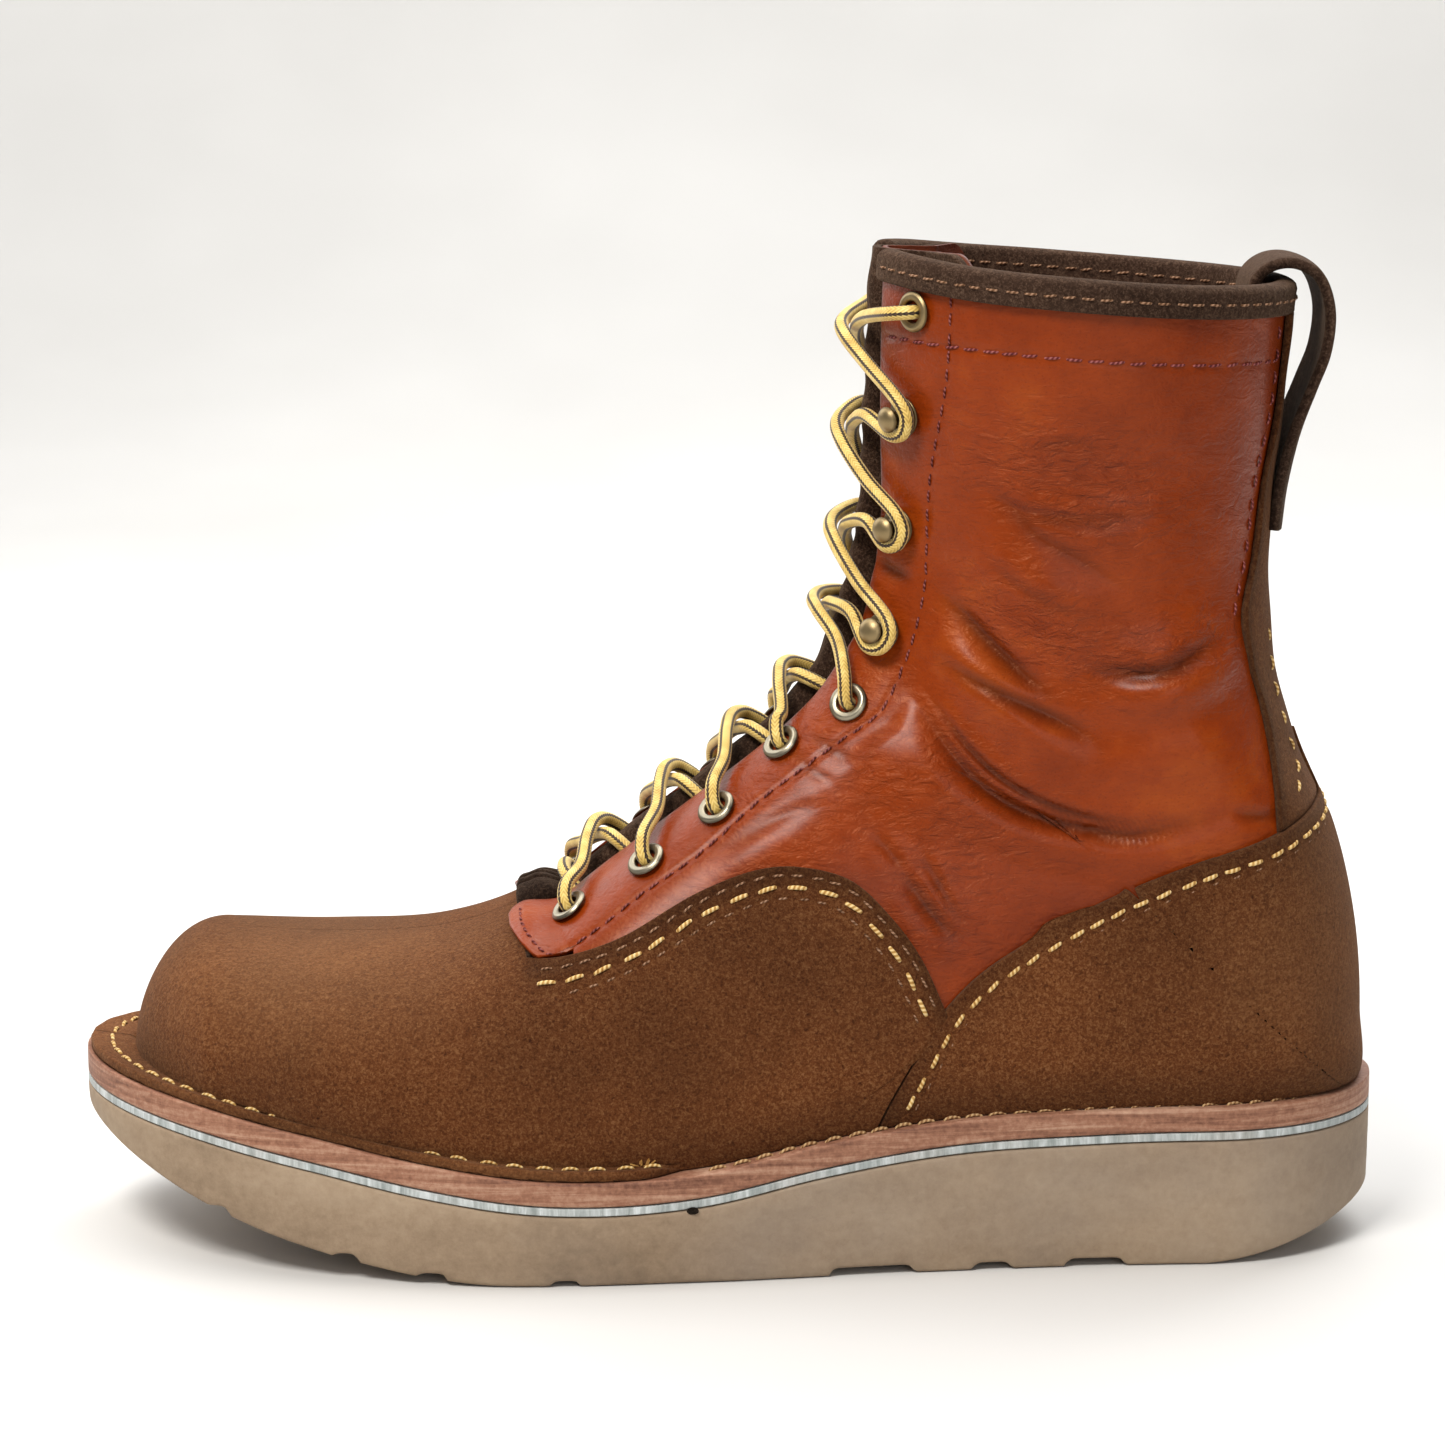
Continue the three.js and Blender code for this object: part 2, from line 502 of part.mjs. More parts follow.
// ---------------------------------------------------------------- backstay, binding and pull loop
const BACKSTAY = 1.5;
const backstayArea = [...shifted(counterEdge.slice(0, 7), 0, GAP).reverse(),
  [200, 115], [200, SKY_Z], [100, SKY_Z]];
const BACKSTAY_HALF = 17;
const backstay = layer(GAP, GAP + BACKSTAY, TOE_STATIONS + 9, TOP + 1)
  .intersect(pattern(backstayArea, -BACKSTAY_HALF, BACKSTAY_HALF))
  .intersect(belowShaftTop(-BINDING_HEIGHT - GAP));
add("backstay", backstay, ROUGHOUT, 0.95);

const BINDING = 1.6;
const bindingIn = -LEATHER - GAP - BINDING;
const bindingTop = BINDING + GAP;
const binding = layer(bindingIn, GAP + BINDING, TOE_STATIONS + 14, TOP + 1)
  .intersect(belowShaftTop(bindingTop))
  .subtract(belowShaftTop(-BINDING_HEIGHT))
  .subtract(layer(-LEATHER - GAP, GAP, TOE_STATIONS + 13, TOP + 1.2).intersect(belowShaftTop(GAP)))
  .subtract(lacingZone);
add("top_binding", binding, DARK_ROUGHOUT, 0.95);

const strapRoute = [[121.2, 196], [121.7, 212], [122, 224], [123.4, 230.6], [127.4, 233.8], [132.8, 234.3],
  [138.2, 231.4],
  [141.2, 224], [140.8, 213.5], [138.2, 204.7], [134.6, 193.8], [131.8, 181], [130.6, 171]];
const strapLine = smooth(strapRoute, 30);
const strapRings = strapLine.map(([x, z], i) => {
  const [x0, z0] = strapLine[Math.max(i - 1, 0)];
  const [x1, z1] = strapLine[Math.min(i + 1, strapLine.length - 1)];
  const length = Math.hypot(x1 - x0, z1 - z0);
  const nx = (-(z1 - z0) / length) * (STRAP / 2);
  const nz = ((x1 - x0) / length) * (STRAP / 2);
  const half = STRAP_WIDTH / 2;
  return [new THREE.Vector3(x - nx, -half, z - nz), new THREE.Vector3(x - nx, half, z - nz),
    new THREE.Vector3(x + nx, half, z + nz), new THREE.Vector3(x + nx, -half, z + nz)];
});
add("pull_loop", loft(strapRings), DARK_ROUGHOUT, 0.8);

// ---------------------------------------------------------------- tongue: bulges between the facings
const TONGUE_TOP = TOP - 0.06;
const TONGUE_FOOT = TOE_STATIONS + 2.75;
const tongueDepth = profile([[0, 1], [4, 0.2], [7, -3.4], [9.5, -7.2], [12, -9.9], [15, -10.5], [60, -10.5]]);
const tongueWing = profile([[TONGUE_FOOT, 24], [TONGUE_FOOT + 3, 27], [TOP - 6, 29], [TOP, 33]]);
const tongueLines = [0, 4, 7, 9.5, 12, 16];
const TONGUE_ROWS = 14;
const tongueSections = Array.from({ length: TONGUE_ROWS + 1 },
  (_, i) => TONGUE_FOOT + ((TONGUE_TOP - TONGUE_FOOT) * i) / TONGUE_ROWS);
function tongueGrid(sink) {
  return tongueSections.map((t) => {
    const half = [...tongueLines.map((y) => y * Math.min(1, tongueWing(t) / 30)), tongueWing(t)];
    const buried = clamp((TOE_STATIONS + 3.6 - t) / 0.8, 0, 1) * 5;
    const place = (side) => (y) =>
      onLast(t, side * across(t, y), Math.min(tongueDepth(y), 1 - buried) - sink);
    return [...half.slice(1).reverse().map(place(-1)), ...half.map(place(1))];
  });
}
const TONGUE = 2;
const TONGUE_LINING = 1.2;
add("tongue", sheet(tongueGrid(0), tongueGrid(TONGUE)), DARK_ROUGHOUT, 0.95);
add("tongue_lining", sheet(tongueGrid(TONGUE + GAP), tongueGrid(TONGUE + GAP + TONGUE_LINING)), 0x8a3f22, 0.5);

// ---------------------------------------------------------------- eyelets and speed hooks
const FLANGE = EYELET_FLANGE / 2;
const HOLE = EYELET_HOLE / 2;
const rollOut = stayIn - 1.7; // the set end rolls out under the facing stay
const ROLL = BARREL + 0.6;
const eyeletProfile = [[HOLE, rollOut - 0.7], [ROLL, rollOut - 0.7], [ROLL, rollOut],
  [BARREL, rollOut], [BARREL, GAP], [FLANGE, GAP], [FLANGE - 0.5, 1.05], [HOLE, 0.9], [HOLE, rollOut - 0.7]];
const METAL_SIDES = 8;
const HOOK_NECK = 5.4;
const hookProfile = [[0, GAP], [4.5, GAP], [4.5, 1], [1.75, 1.2], [1.75, HOOK_NECK], [3, HOOK_NECK],
  [2.4, HOOK_NECK + 1.3], [0, HOOK_NECK + 1.7]];
function turned(outline, sides) {
  const geometry = new THREE.LatheGeometry(outline.map(([r, z]) => new THREE.Vector2(r, z)), sides);
  return geometry.rotateX(Math.PI / 2);
}
for (const [name, side] of SIDES) {
  ROWS.forEach((_, row) => {
    const isEyelet = EYELET_ROWS.includes(row);
    const place = seat(row, side);
    const geometry = turned(isEyelet ? eyeletProfile : hookProfile, METAL_SIDES);
    const label = (isEyelet ? "eyelet_" : "speed_hook_") + name + "_" + (row + 1);
    const brass = !isEyelet || row === 8;
    const mesh = add(label, geometry, brass ? BRASS : NICKEL, 0.35, 1);
    mesh.position.copy(place.point);
    mesh.quaternion.copy(place.turn);
  });
}

// ---------------------------------------------------------------- lace: one piece, criss-crossed up the front
const OVER_TONGUE = 3.2; // height of a strand's centre line above the last where it crosses the tongue
const UNDER = -7.6; // between the facing stay and the tongue's wing
const ROLL_CLEAR = -5.8;
const throughEyelet = [ROLL_CLEAR, -1.8, 1.5];
const IS_HOOK = (row) => !EYELET_ROWS.includes(row);
// Heights of a strand as [distance from the centre plane, on the lower strand, on the upper one]; it
// leaves a hole at -near and reaches the next at far.
const BEND = 2.4; // a strand has turned flat this far from its hole
const tucked = (near, far) => [[BEND - near, 4.2, 4.2], [-14, 3.1, 3.3], [-6, 3.2, 5.9], [0, 3.2, 6.9],
  [4.6, 2.6, 5.4], [8, -0.2, 1.4], [10.4, -3.9, -3.4], [13.2, -7, -7], [far - BEND, UNDER, UNDER]];
const outside = (near, far) => [[BEND - near, 4.4, 4.4], [-13, 3.4, 3.6], [-5, 3.2, 6], [0, 3.2, 6.9],
  [5, 3.2, 6], [13, 3.4, 3.6], [far - BEND, 4.4, 4.4]];
function crossing(row, side, upper) {
  const from = seats[row];
  const to = seats[row + 1];
  const staysOutside = row + 1 > 4;
  const bias = staysOutside ? 0.65 : 0.85; // the strands cross nearer to the upper row
  const near = Math.abs(lastPoint(from.t, from.v).y);
  const far = Math.abs(lastPoint(to.t, to.v).y);
  const heights = (staysOutside ? outside : tucked)(near, far);
  const kept = heights.filter((_, i) => !(IS_HOOK(row) && i === 0)
    && !(IS_HOOK(row + 1) && i === heights.length - 1));
  return kept.map(([distance, low, high]) => {
    const q = distance < 0 ? distance / near : distance / far;
    const rise = ((q + 1) / 2) ** bias;
    const t = from.t + (to.t - from.t) * rise;
    const v = -Math.sign(distance) * side * across(t, Math.abs(distance));
    return onLast(t, v, upper ? high : low);
  });
}
const HOOK_WRAP = 4.1;
const HOOK_HEIGHT = 3.3;
function aroundHook(row, side) {
  const { t, v, point, normal } = seat(row, side);
  const outwards = lastPoint(t, side * (v + 0.05)).sub(lastPoint(t, side * (v - 0.05))).normalize();
  const up = new THREE.Vector3().crossVectors(outwards, normal).multiplyScalar(side).normalize();
  if (up.z < 0) up.negate();
  return [-78, -26, 26, 78].map((degrees) => {
    const angle = (degrees * Math.PI) / 180;
    return point.clone()
      .addScaledVector(normal, HOOK_HEIGHT)
      .addScaledVector(outwards, HOOK_WRAP * Math.cos(angle))
      .addScaledVector(up, HOOK_WRAP * Math.sin(angle));
  });
}
const throughHole = (row, side, heights) => {
  const { point, normal } = seat(row, side);
  return heights.map((height) => point.clone().addScaledVector(normal, height));
};
function strand(startSide) {
  const points = [...throughHole(0, startSide, throughEyelet)];
  let side = startSide;
  for (let row = 0; row < 8; row += 1) {
    points.push(...crossing(row, side, side < 0));
    side = -side;
    const next = row + 1;
    if (IS_HOOK(next)) points.push(...aroundHook(next, side));
    else if (next === 8) points.push(...throughHole(next, side, [...throughEyelet].reverse()));
    else points.push(...throughHole(next, side, throughEyelet));
  }
  return points;
}
const barHalf = Math.abs(lastPoint(seats[0].t, seats[0].v).y);
const barHeights = [[4.6, 2.6], [8, -0.2], [10.4, -3.9], [13.2, -7], [barHalf - BEND, UNDER]];
const barSide = (side) => barHeights.map(([distance, height]) =>
  onLast(seats[0].t, side * across(seats[0].t, distance), height));
const bar = [...barSide(-1).reverse(), onLast(seats[0].t, 0, OVER_TONGUE), ...barSide(1)];
// A tube through hand-picked points, with one ring of its section at each point.
function tube(points, diameter, sides) {
  const route = new THREE.CatmullRomCurve3(points);
  route.getUtoTmapping = (u) => u;
  const outline = new THREE.Shape(Array.from({ length: sides }, (_, i) => {
    const angle = (2 * Math.PI * i) / sides;
    return new THREE.Vector2((diameter / 2) * Math.cos(angle), (diameter / 2) * Math.sin(angle));
  }));
  return new THREE.ExtrudeGeometry(outline, { steps: points.length - 1, extrudePath: route });
}
const lacePoints = [...strand(-1).reverse(), ...bar, ...strand(1)];
add("lace", tube(lacePoints, LACE, LACED_SIDES), LACE_YELLOW, 0.7);

// ---------------------------------------------------------------- the lace's ends, dropped inside the shaft
const TAIL_DEPTH = -6.2;
const TAIL_SIDE_VIEW = [[52, 219], [61, 209], [67, 195], [70, 180], [72, 165], [73.5, 150], [74.5, 135],
  [75, 120], [75, 106], [74.5, 92]];
const AGLET_LENGTH = 22;
for (const [name, side] of SIDES) {
  const { t, v, point, normal } = seat(8, side);
  const bend = [[0, ROLL_CLEAR - GAP], [0, ROLL_CLEAR - GAP - 0.5], [0.012, -7.4], [0.035, -7.9]];
  const start = bend.map(([dv, height]) => (dv === 0
    ? point.clone().addScaledVector(normal, height)
    : onLast(t, side * (v + dv), height)));
  const hanging = TAIL_SIDE_VIEW.map(([x, z]) => {
    const place = locate(x, z);
    return onLast(place.t, side * place.v, TAIL_DEPTH);
  });
  const points = [...start, ...hanging];
  add("lace_tail_" + name, tube(points, LACE, LACE_SIDES), LACE_YELLOW, 0.7);
  const end = points.at(-1);
  const direction = end.clone().sub(points.at(-2)).normalize();
  const aglet = new THREE.CylinderGeometry(LACE / 2, LACE / 2, AGLET_LENGTH, 10);
  const mesh = add("aglet_" + name, aglet, BRASS, 0.3, 1);
  mesh.quaternion.setFromUnitVectors(new THREE.Vector3(0, 1, 0), direction);
  mesh.position.copy(end).addScaledVector(direction, GAP + AGLET_LENGTH / 2);
}

// The origin is on the ground under the middle of the boot.
const ground = new THREE.Box3().setFromObject(root.getObjectByName("outsole_crepe_wedge"));
root.position.set(0, -(ground.min.y + ground.max.y) / 2, -ground.min.z);
root.updateMatrixWorld(true);

export default root;
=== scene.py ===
"""A lace-up leather work boot on a crepe wedge sole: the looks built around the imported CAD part.

Lengths are millimetres in the boot's own frame (toe to -X, outer side to -Y, ground at z = 0), and
become metres in the row frame when a mesh is made. Leather pieces lie on one smooth surface, the last:
a point of it is (t, v), where t runs along the boot from the toe to the shaft's top, and v runs around
it from -1 (outer side's bottom edge) over 0 (front line) to 1 (inner side's bottom edge).
"""
import math
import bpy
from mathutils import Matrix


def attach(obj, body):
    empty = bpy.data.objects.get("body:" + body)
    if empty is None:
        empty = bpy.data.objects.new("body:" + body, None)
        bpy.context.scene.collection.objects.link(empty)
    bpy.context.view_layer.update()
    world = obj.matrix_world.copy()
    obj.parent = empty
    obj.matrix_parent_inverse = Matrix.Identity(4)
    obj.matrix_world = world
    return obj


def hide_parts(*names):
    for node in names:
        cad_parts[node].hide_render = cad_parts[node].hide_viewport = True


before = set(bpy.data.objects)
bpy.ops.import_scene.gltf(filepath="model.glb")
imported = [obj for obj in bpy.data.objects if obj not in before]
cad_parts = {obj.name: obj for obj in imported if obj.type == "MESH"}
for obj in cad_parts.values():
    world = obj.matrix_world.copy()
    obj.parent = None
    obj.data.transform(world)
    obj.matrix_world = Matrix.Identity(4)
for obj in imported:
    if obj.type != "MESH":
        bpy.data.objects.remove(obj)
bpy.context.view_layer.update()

from types import SimpleNamespace

import bpy
import numpy as np
from mathutils import Vector

rng = np.random.default_rng(7)

# ---------------------------------------------------------------- dimensions shared with the CAD part
GAP = 0.3
SOLE_LENGTH = 312
SOLE_END = SOLE_LENGTH / 2
TOE_ROUND = 58
HEEL_ROUND = 44
MIDSOLE = 5.7
BUMPER = 1.8
LAST_TOE = -141.5
LAST_HEEL = 149
LEATHER = 2
OVERLAY = 2.2
STAY = 1.3
FACING = 13  # each facing edge's distance from the centre plane
BINDING_HEIGHT = 5.5
BINDING = 1.6
LACE = 3.4
STRAP_WIDTH = 25
STRAP = 2.6
FEATHER_DROP = 1.2
SWELL = 1.06
SEAT_LIFT = 0.7
AGLET_LENGTH = 22


# ---------------------------------------------------------------- curves
def profile(points):
    """A smooth curve y(x) through a few points, straight beyond both ends."""
    xs, ys = np.array(points, float).T
    widths = np.diff(xs)
    rises = np.diff(ys) / widths
    inner = (rises[:-1] * widths[1:] + rises[1:] * widths[:-1]) / (widths[:-1] + widths[1:])
    slopes = np.concatenate([rises[:1], inner, rises[-1:]])

    def curve(x):
        x = np.asarray(x, float)
        i = np.clip(np.searchsorted(xs, x, side="right") - 1, 0, len(xs) - 2)
        s = (x - xs[i]) / widths[i]
        keep = (1 + 2 * s) * (1 - s) ** 2
        bend = s * (1 - s) ** 2 * slopes[i] + s * s * (s - 1) * slopes[i + 1]
        inside = keep * ys[i] + (1 - keep) * ys[i + 1] + widths[i] * bend
        before = ys[0] + slopes[0] * (x - xs[0])
        after = ys[-1] + slopes[-1] * (x - xs[-1])
        return np.where(x <= xs[0], before, np.where(x >= xs[-1], after, inside))

    return curve


def rounded(q):
    """A quarter-circle rise from 0 to 1."""
    return np.sqrt(np.clip(1 - (1 - np.clip(q, 0, 1)) ** 2, 0, 1))


def smoothstep(low, high, x):
    q = np.clip((np.asarray(x, float) - low) / (high - low), 0, 1)
    return q * q * (3 - 2 * q)


def spline(points, per_span=12):
    """A smooth open curve through points of any dimension (centripetal Catmull-Rom)."""
    points = np.array(points, float)
    ends = [2 * points[0] - points[1], *points, 2 * points[-1] - points[-2]]
    s = np.linspace(0, 1, per_span, endpoint=False)[:, None]
    pieces = []
    for p0, p1, p2, p3 in zip(ends, ends[1:], ends[2:], ends[3:]):
        d0, d1, d2 = (max(np.linalg.norm(b - a) ** 0.5, 1e-4) for a, b in ((p0, p1), (p1, p2), (p2, p3)))
        m1 = ((p1 - p0) / d0 - (p2 - p0) / (d0 + d1) + (p2 - p1) / d1) * d1
        m2 = ((p2 - p1) / d1 - (p3 - p1) / (d1 + d2) + (p3 - p2) / d2) * d1
        a, b = 2 * p1 - 2 * p2 + m1 + m2, -3 * p1 + 3 * p2 - 2 * m1 - m2
        pieces.append(p1 + m1 * s + b * s**2 + a * s**3)
    return np.concatenate([*pieces, points[-1:]])


def run_length(points):
    """Distance along a line of points, from its first point."""
    steps = np.linalg.norm(np.diff(points, axis=0), axis=1)
    return np.concatenate([[0], np.cumsum(steps)])


def at_lengths(points, lengths):
    """Points of a line at given distances along it."""
    run = run_length(points)
    return np.stack([np.interp(lengths, run, c) for c in points.T], axis=1)


# ---------------------------------------------------------------- the sole's outline and levels
sole_width = profile([[-156, 48], [-110, 51.5], [-55, 55], [0, 47.5], [40, 41.5], [90, 39.5], [156, 39]])
sole_middle = profile([[-156, 7], [-110, 3], [-50, -4], [0, -7], [40, -6.5], [90, -2.5], [156, -1]])
sole_top = profile([
    [-156, 43], [-123, 38.5], [-100, 34.5], [-71, 29], [-39, 25.2], [-6, 26.5], [22, 32.2], [52, 36.5],
    [87, 38], [156, 38.5],
])


def sole_half(x):
    return sole_width(x) * rounded((x + SOLE_END) / TOE_ROUND) * rounded((SOLE_END - x) / HEEL_ROUND)


def tread_height(x):
    """Underside of the wedge: toe spring, a flat tread and a bevelled heel."""
    toe = 30 * (np.clip(-48 - x, 0, None) / 108) ** 1.9
    heel = 12 * (np.clip(x - 112, 0, None) / 44) ** 1.7
    return toe + heel


# ---------------------------------------------------------------- the last
TOE_STATIONS = 3
last_width = profile([[LAST_TOE, 44], [-60, 46.5], [0, 39.5], [40, 35], [90, 34], [LAST_HEEL, 34]])


def feather_half(x):
    return last_width(x) * rounded((x - LAST_TOE) / 46) * rounded((LAST_HEEL - x) / 40)


def feather_top(x):
    return sole_top(x) - FEATHER_DROP


def on_sole(front_x, front_z, x, belly, half=None):
    half = float(SWELL * feather_half(x)) if half is None else half
    return [front_x, front_z, x, float(feather_top(x)), half, belly]


# [front x, front z, back x, back z, half width, where along the section it is widest]
SECTIONS = [
    on_sole(-121.5, 69.8, -121.5, 0.75), on_sole(-95, 69.3, -95, 0.75), on_sole(-68, 71.2, -68, 0.75),
    on_sole(-47, 78.5, -42, 0.74), on_sole(-28, 93, -16, 0.72, 44.5), on_sole(-8, 108.5, 14, 0.72, 41),
    on_sole(9, 122.5, 48, 0.72, 39.5), on_sole(19.5, 134, 86, 0.74, 38.5),
    on_sole(25.5, 146, 124, 0.76, 38.3), on_sole(28, 153.5, LAST_HEEL, 0.74, 38),
    [29.8, 161, 150.4, 55, 37.8, 0.72], [31.3, 169, 148.6, 77, 37.3, 0.7],
    [32.3, 178, 143.5, 98.5, 36.8, 0.68], [32.8, 188, 134.5, 119.5, 36.5, 0.62],
    [33.2, 199, 128.8, 141, 37.5, 0.56],
    [33.7, 211, 127, 165, 39.5, 0.53], [34.2, 224, 129.3, 196, 42, 0.51], [35, 238, 132.3, 231, 44, 0.5],
]
section_curves = [
    profile([[TOE_STATIONS + i, s[k]] for i, s in enumerate(SECTIONS)]) for k in range(6)
]
CLOSED_FROM = TOE_STATIONS + 9  # from here up the sections are closed rings
TOP = TOE_STATIONS + len(SECTIONS) - 1
squareness = profile([[0, 2.3], [5, 2.5], [6.5, 2.85], [9, 2.75], [11, 2.35], [14, 2.2], [20, 2.2]])


def section(t):
    t = np.asarray(t, float)
    front_x, front_z, back_x, back_z, half, belly = [curve(t) for curve in section_curves]
    toe = t < TOE_STATIONS
    angle = (np.pi / 2) * t / TOE_STATIONS
    toe_x = LAST_TOE + 20 * (1 - np.cos(angle))
    back_x = np.where(toe, toe_x, back_x)
    back_z = np.where(toe, feather_top(toe_x), back_z)
    front_x = np.where(toe, toe_x, front_x)
    front_z = np.where(toe, back_z + (SECTIONS[0][1] - SECTIONS[0][3]) * np.sin(angle), front_z)
    half = np.where(toe, SWELL * feather_half(toe_x), half)
    belly = np.where(toe, SECTIONS[0][5], belly)
    power = 2 / squareness(t)
    share = np.minimum(feather_half(back_x) / np.maximum(half, 1e-9), 0.999)
    share = np.where(t >= CLOSED_FROM, 0, share)
    reach = np.pi - np.arcsin(share ** (1 / power))
    front_middle = sole_middle(back_x) * np.clip((TOE_STATIONS + 3 - t) / 3, 0, 1)
    back_middle = sole_middle(back_x) * np.clip((TOE_STATIONS + 15 - t) / 8, 0, 1)
    return SimpleNamespace(
        front_x=front_x, front_z=front_z, back_x=back_x, back_z=back_z, half=half, belly=belly,
        power=power, reach=reach, front_middle=front_middle, back_middle=back_middle,
    )


def last_point(t, v):
    s = section(t)
    turn = np.asarray(v, float) * s.reach
    turn = np.where(np.abs(turn) > np.pi, turn - 2 * np.pi * np.sign(turn), turn)
    angle = np.abs(turn)
    swing = np.abs(np.cos(angle)) ** s.power
    end = np.maximum(np.abs(np.cos(s.reach)) ** s.power, 1e-6)
    above = s.belly * (1 - swing)
    along = np.where(angle <= np.pi / 2, above, s.belly + (1 - s.belly) * swing / end)
    sideways = np.sign(turn) * s.half * np.abs(np.sin(angle)) ** s.power
    return np.stack([
        s.front_x + (s.back_x - s.front_x) * along,
        s.front_middle + (s.back_middle - s.front_middle) * along + sideways,
        s.front_z + (s.back_z - s.front_z) * along,
    ], axis=-1)


def unit(vectors):
    return vectors / np.maximum(np.linalg.norm(vectors, axis=-1, keepdims=True), 1e-12)


STEP = 0.01


def last_normal(t, v):
    t, v = np.asarray(t, float), np.asarray(v, float)
    along_t = last_point(t + STEP, v) - last_point(t - STEP, v)
    along_v = last_point(t, v + STEP) - last_point(t, v - STEP)
    return unit(np.cross(along_t, along_v))


def on_last(t, v, offset):
    return last_point(t, v) + last_normal(t, v) * np.asarray(offset, float)[..., None]


def locate(x, z):
    """(t, v) on the inner side of points given in side view."""
    x, z = np.asarray(x, float), np.asarray(z, float)
    low = np.full(x.shape, float(TOE_STATIONS))
    high = np.full(x.shape, TOP + 1.0)
    for _ in range(36):
        t = (low + high) / 2
        s = section(t)
        ahead = (s.back_x - s.front_x) * (z - s.front_z) > (s.back_z - s.front_z) * (x - s.front_x)
        low, high = np.where(ahead, t, low), np.where(ahead, high, t)
    s = section(low)
    length = np.hypot(s.back_x - s.front_x, s.back_z - s.front_z)
    along = np.clip(np.hypot(x - s.front_x, z - s.front_z) / length, 0, 1)
    end = np.abs(np.cos(s.reach)) ** s.power
    swing = np.where(along <= s.belly, 1 - along / s.belly, -(along - s.belly) / (1 - s.belly) * end)
    angle = np.arccos(np.sign(swing) * np.abs(swing) ** (1 / s.power))
    return low, angle / s.reach


def across(t, distance):
    """v of the point at a distance from the centre plane, on the front half of section t."""
    s = section(t)
    return np.arcsin(np.clip(distance / s.half, 0, 1) ** (1 / s.power)) / s.reach


# ---------------------------------------------------------------- helpers: meshes
station_x = -SOLE_END * np.cos(np.pi * np.arange(45) / 44)
station_side = sole_half(station_x)
station_y = np.array([sole_middle(station_x) - station_side, sole_middle(station_x) + station_side])
SHIFT_Y = -(station_y.min() + station_y.max()) / 2  # the CAD part's origin is under the middle of its outsole


def in_metres(points):
    return (np.asarray(points, float) + [0, SHIFT_Y, 0]) / 1000


def outward(points, faces):
    """The faces, turned over if they enclose a negative volume."""
    triangles = np.array([(face[0], face[i], face[i + 1]) for face in faces for i in range(1, len(face) - 1)])
    a, b, c = (points[triangles[:, k]] for k in range(3))
    inside_out = np.sum(a * np.cross(b, c)) < 0
    return [face[::-1] for face in faces] if inside_out else faces


def add_mesh(name, points, faces, look, body="boot", slot=None, replaces=(), marks=None, uv=None):
    """A smooth mesh piece that rides on a CAD body; marks are numbers kept at each point for its material."""
    faces = outward(points, faces if isinstance(faces, list) else faces.tolist())
    mesh = bpy.data.meshes.new(name)
    mesh.from_pydata(in_metres(points), [], faces)
    mesh.shade_smooth()
    for mark, values in (marks or {}).items():
        attribute = mesh.attributes.new(mark, "FLOAT", "POINT")
        attribute.data.foreach_set("value", np.asarray(values, np.float32).ravel())
    if uv is not None:
        corners = np.array([loop.vertex_index for loop in mesh.loops])
        mesh.uv_layers.new(name="UVMap").data.foreach_set("uv", np.asarray(uv, np.float32)[corners].ravel())
    mesh.materials.append(look)
    piece = bpy.data.objects.new(name, mesh)
    bpy.context.scene.collection.objects.link(piece)
    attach(piece, body)
    if replaces:
        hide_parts(*replaces)
    return piece


def grid_faces(rows, columns, start=0, flipped=False):
    corner = start + np.arange((rows - 1) * columns).reshape(rows - 1, columns)[:, :-1].ravel()
    order = [0, 1, columns + 1, columns] if flipped else [0, columns, columns + 1, 1]
    return corner[:, None] + np.array(order)


def sheet(outer, inner):
    """Points and faces of a sheet with thickness, from the point grids of its two faces."""
    rows, columns = outer.shape[:2]
    count = rows * columns
    index = np.arange(count).reshape(rows, columns)
    edge = np.concatenate([index[0, :-1], index[:-1, -1], index[-1, :0:-1], index[:0:-1, 0]])
    following = np.roll(edge, -1)
    rim = np.stack([edge, following, following + count, edge + count], axis=1)
    faces = np.concatenate([grid_faces(rows, columns), grid_faces(rows, columns, count, True), rim])
    return np.concatenate([outer.reshape(-1, 3), inner.reshape(-1, 3)]), faces


def joined(*parts):
    """Several (points, faces) as one."""
    starts = np.cumsum([0] + [len(points) for points, _ in parts])
    return (
        np.concatenate([points for points, _ in parts]),
        np.concatenate([faces + start for (_, faces), start in zip(parts, starts)]),
    )


def spaced(count, length=0, ends=(False, False)):
    """Even shares from 0 to 1, with a few close ones at the ends that get a rounded edge."""
    shares = np.linspace(0, 1, count)
    near = np.array([0.1, 0.25, 0.45]) / max(length, 1)
    extra = [near] * ends[0] + [1 - near] * ends[1]
    return np.unique(np.concatenate([shares, *extra]))


def even(path, shares):
    """Points of a (t, v) path at even distances on the last."""
    dense = at_lengths(np.asarray(path, float), np.linspace(0, run_length(np.asarray(path, float))[-1], 400))
    run = run_length(last_point(dense[:, 0], dense[:, 1]))
    return np.stack([np.interp(shares * run[-1], run, c) for c in dense.T], axis=1)


def ruled(first, second, shares):
    """A grid of (t, v) between two edges with as many points."""
    return first[None] + (second - first)[None] * np.asarray(shares)[:, None, None]


def edge_drop(points, edges, radius=0.45):
    """How far the outer face sinks near each free edge, which rounds the cut edge."""
    drop = np.zeros(points.shape[:2])
    for axis, at_end in edges:
        steps = np.linalg.norm(np.diff(points, axis=axis), axis=2)
        pad = [(1, 0), (0, 0)] if axis == 0 else [(0, 0), (1, 0)]
        run = np.cumsum(np.pad(steps, pad), axis=axis)
        if at_end:
            run = run.take([-1], axis=axis) - run
        drop = np.maximum(drop, radius * (1 - rounded(run / radius)))
    return drop


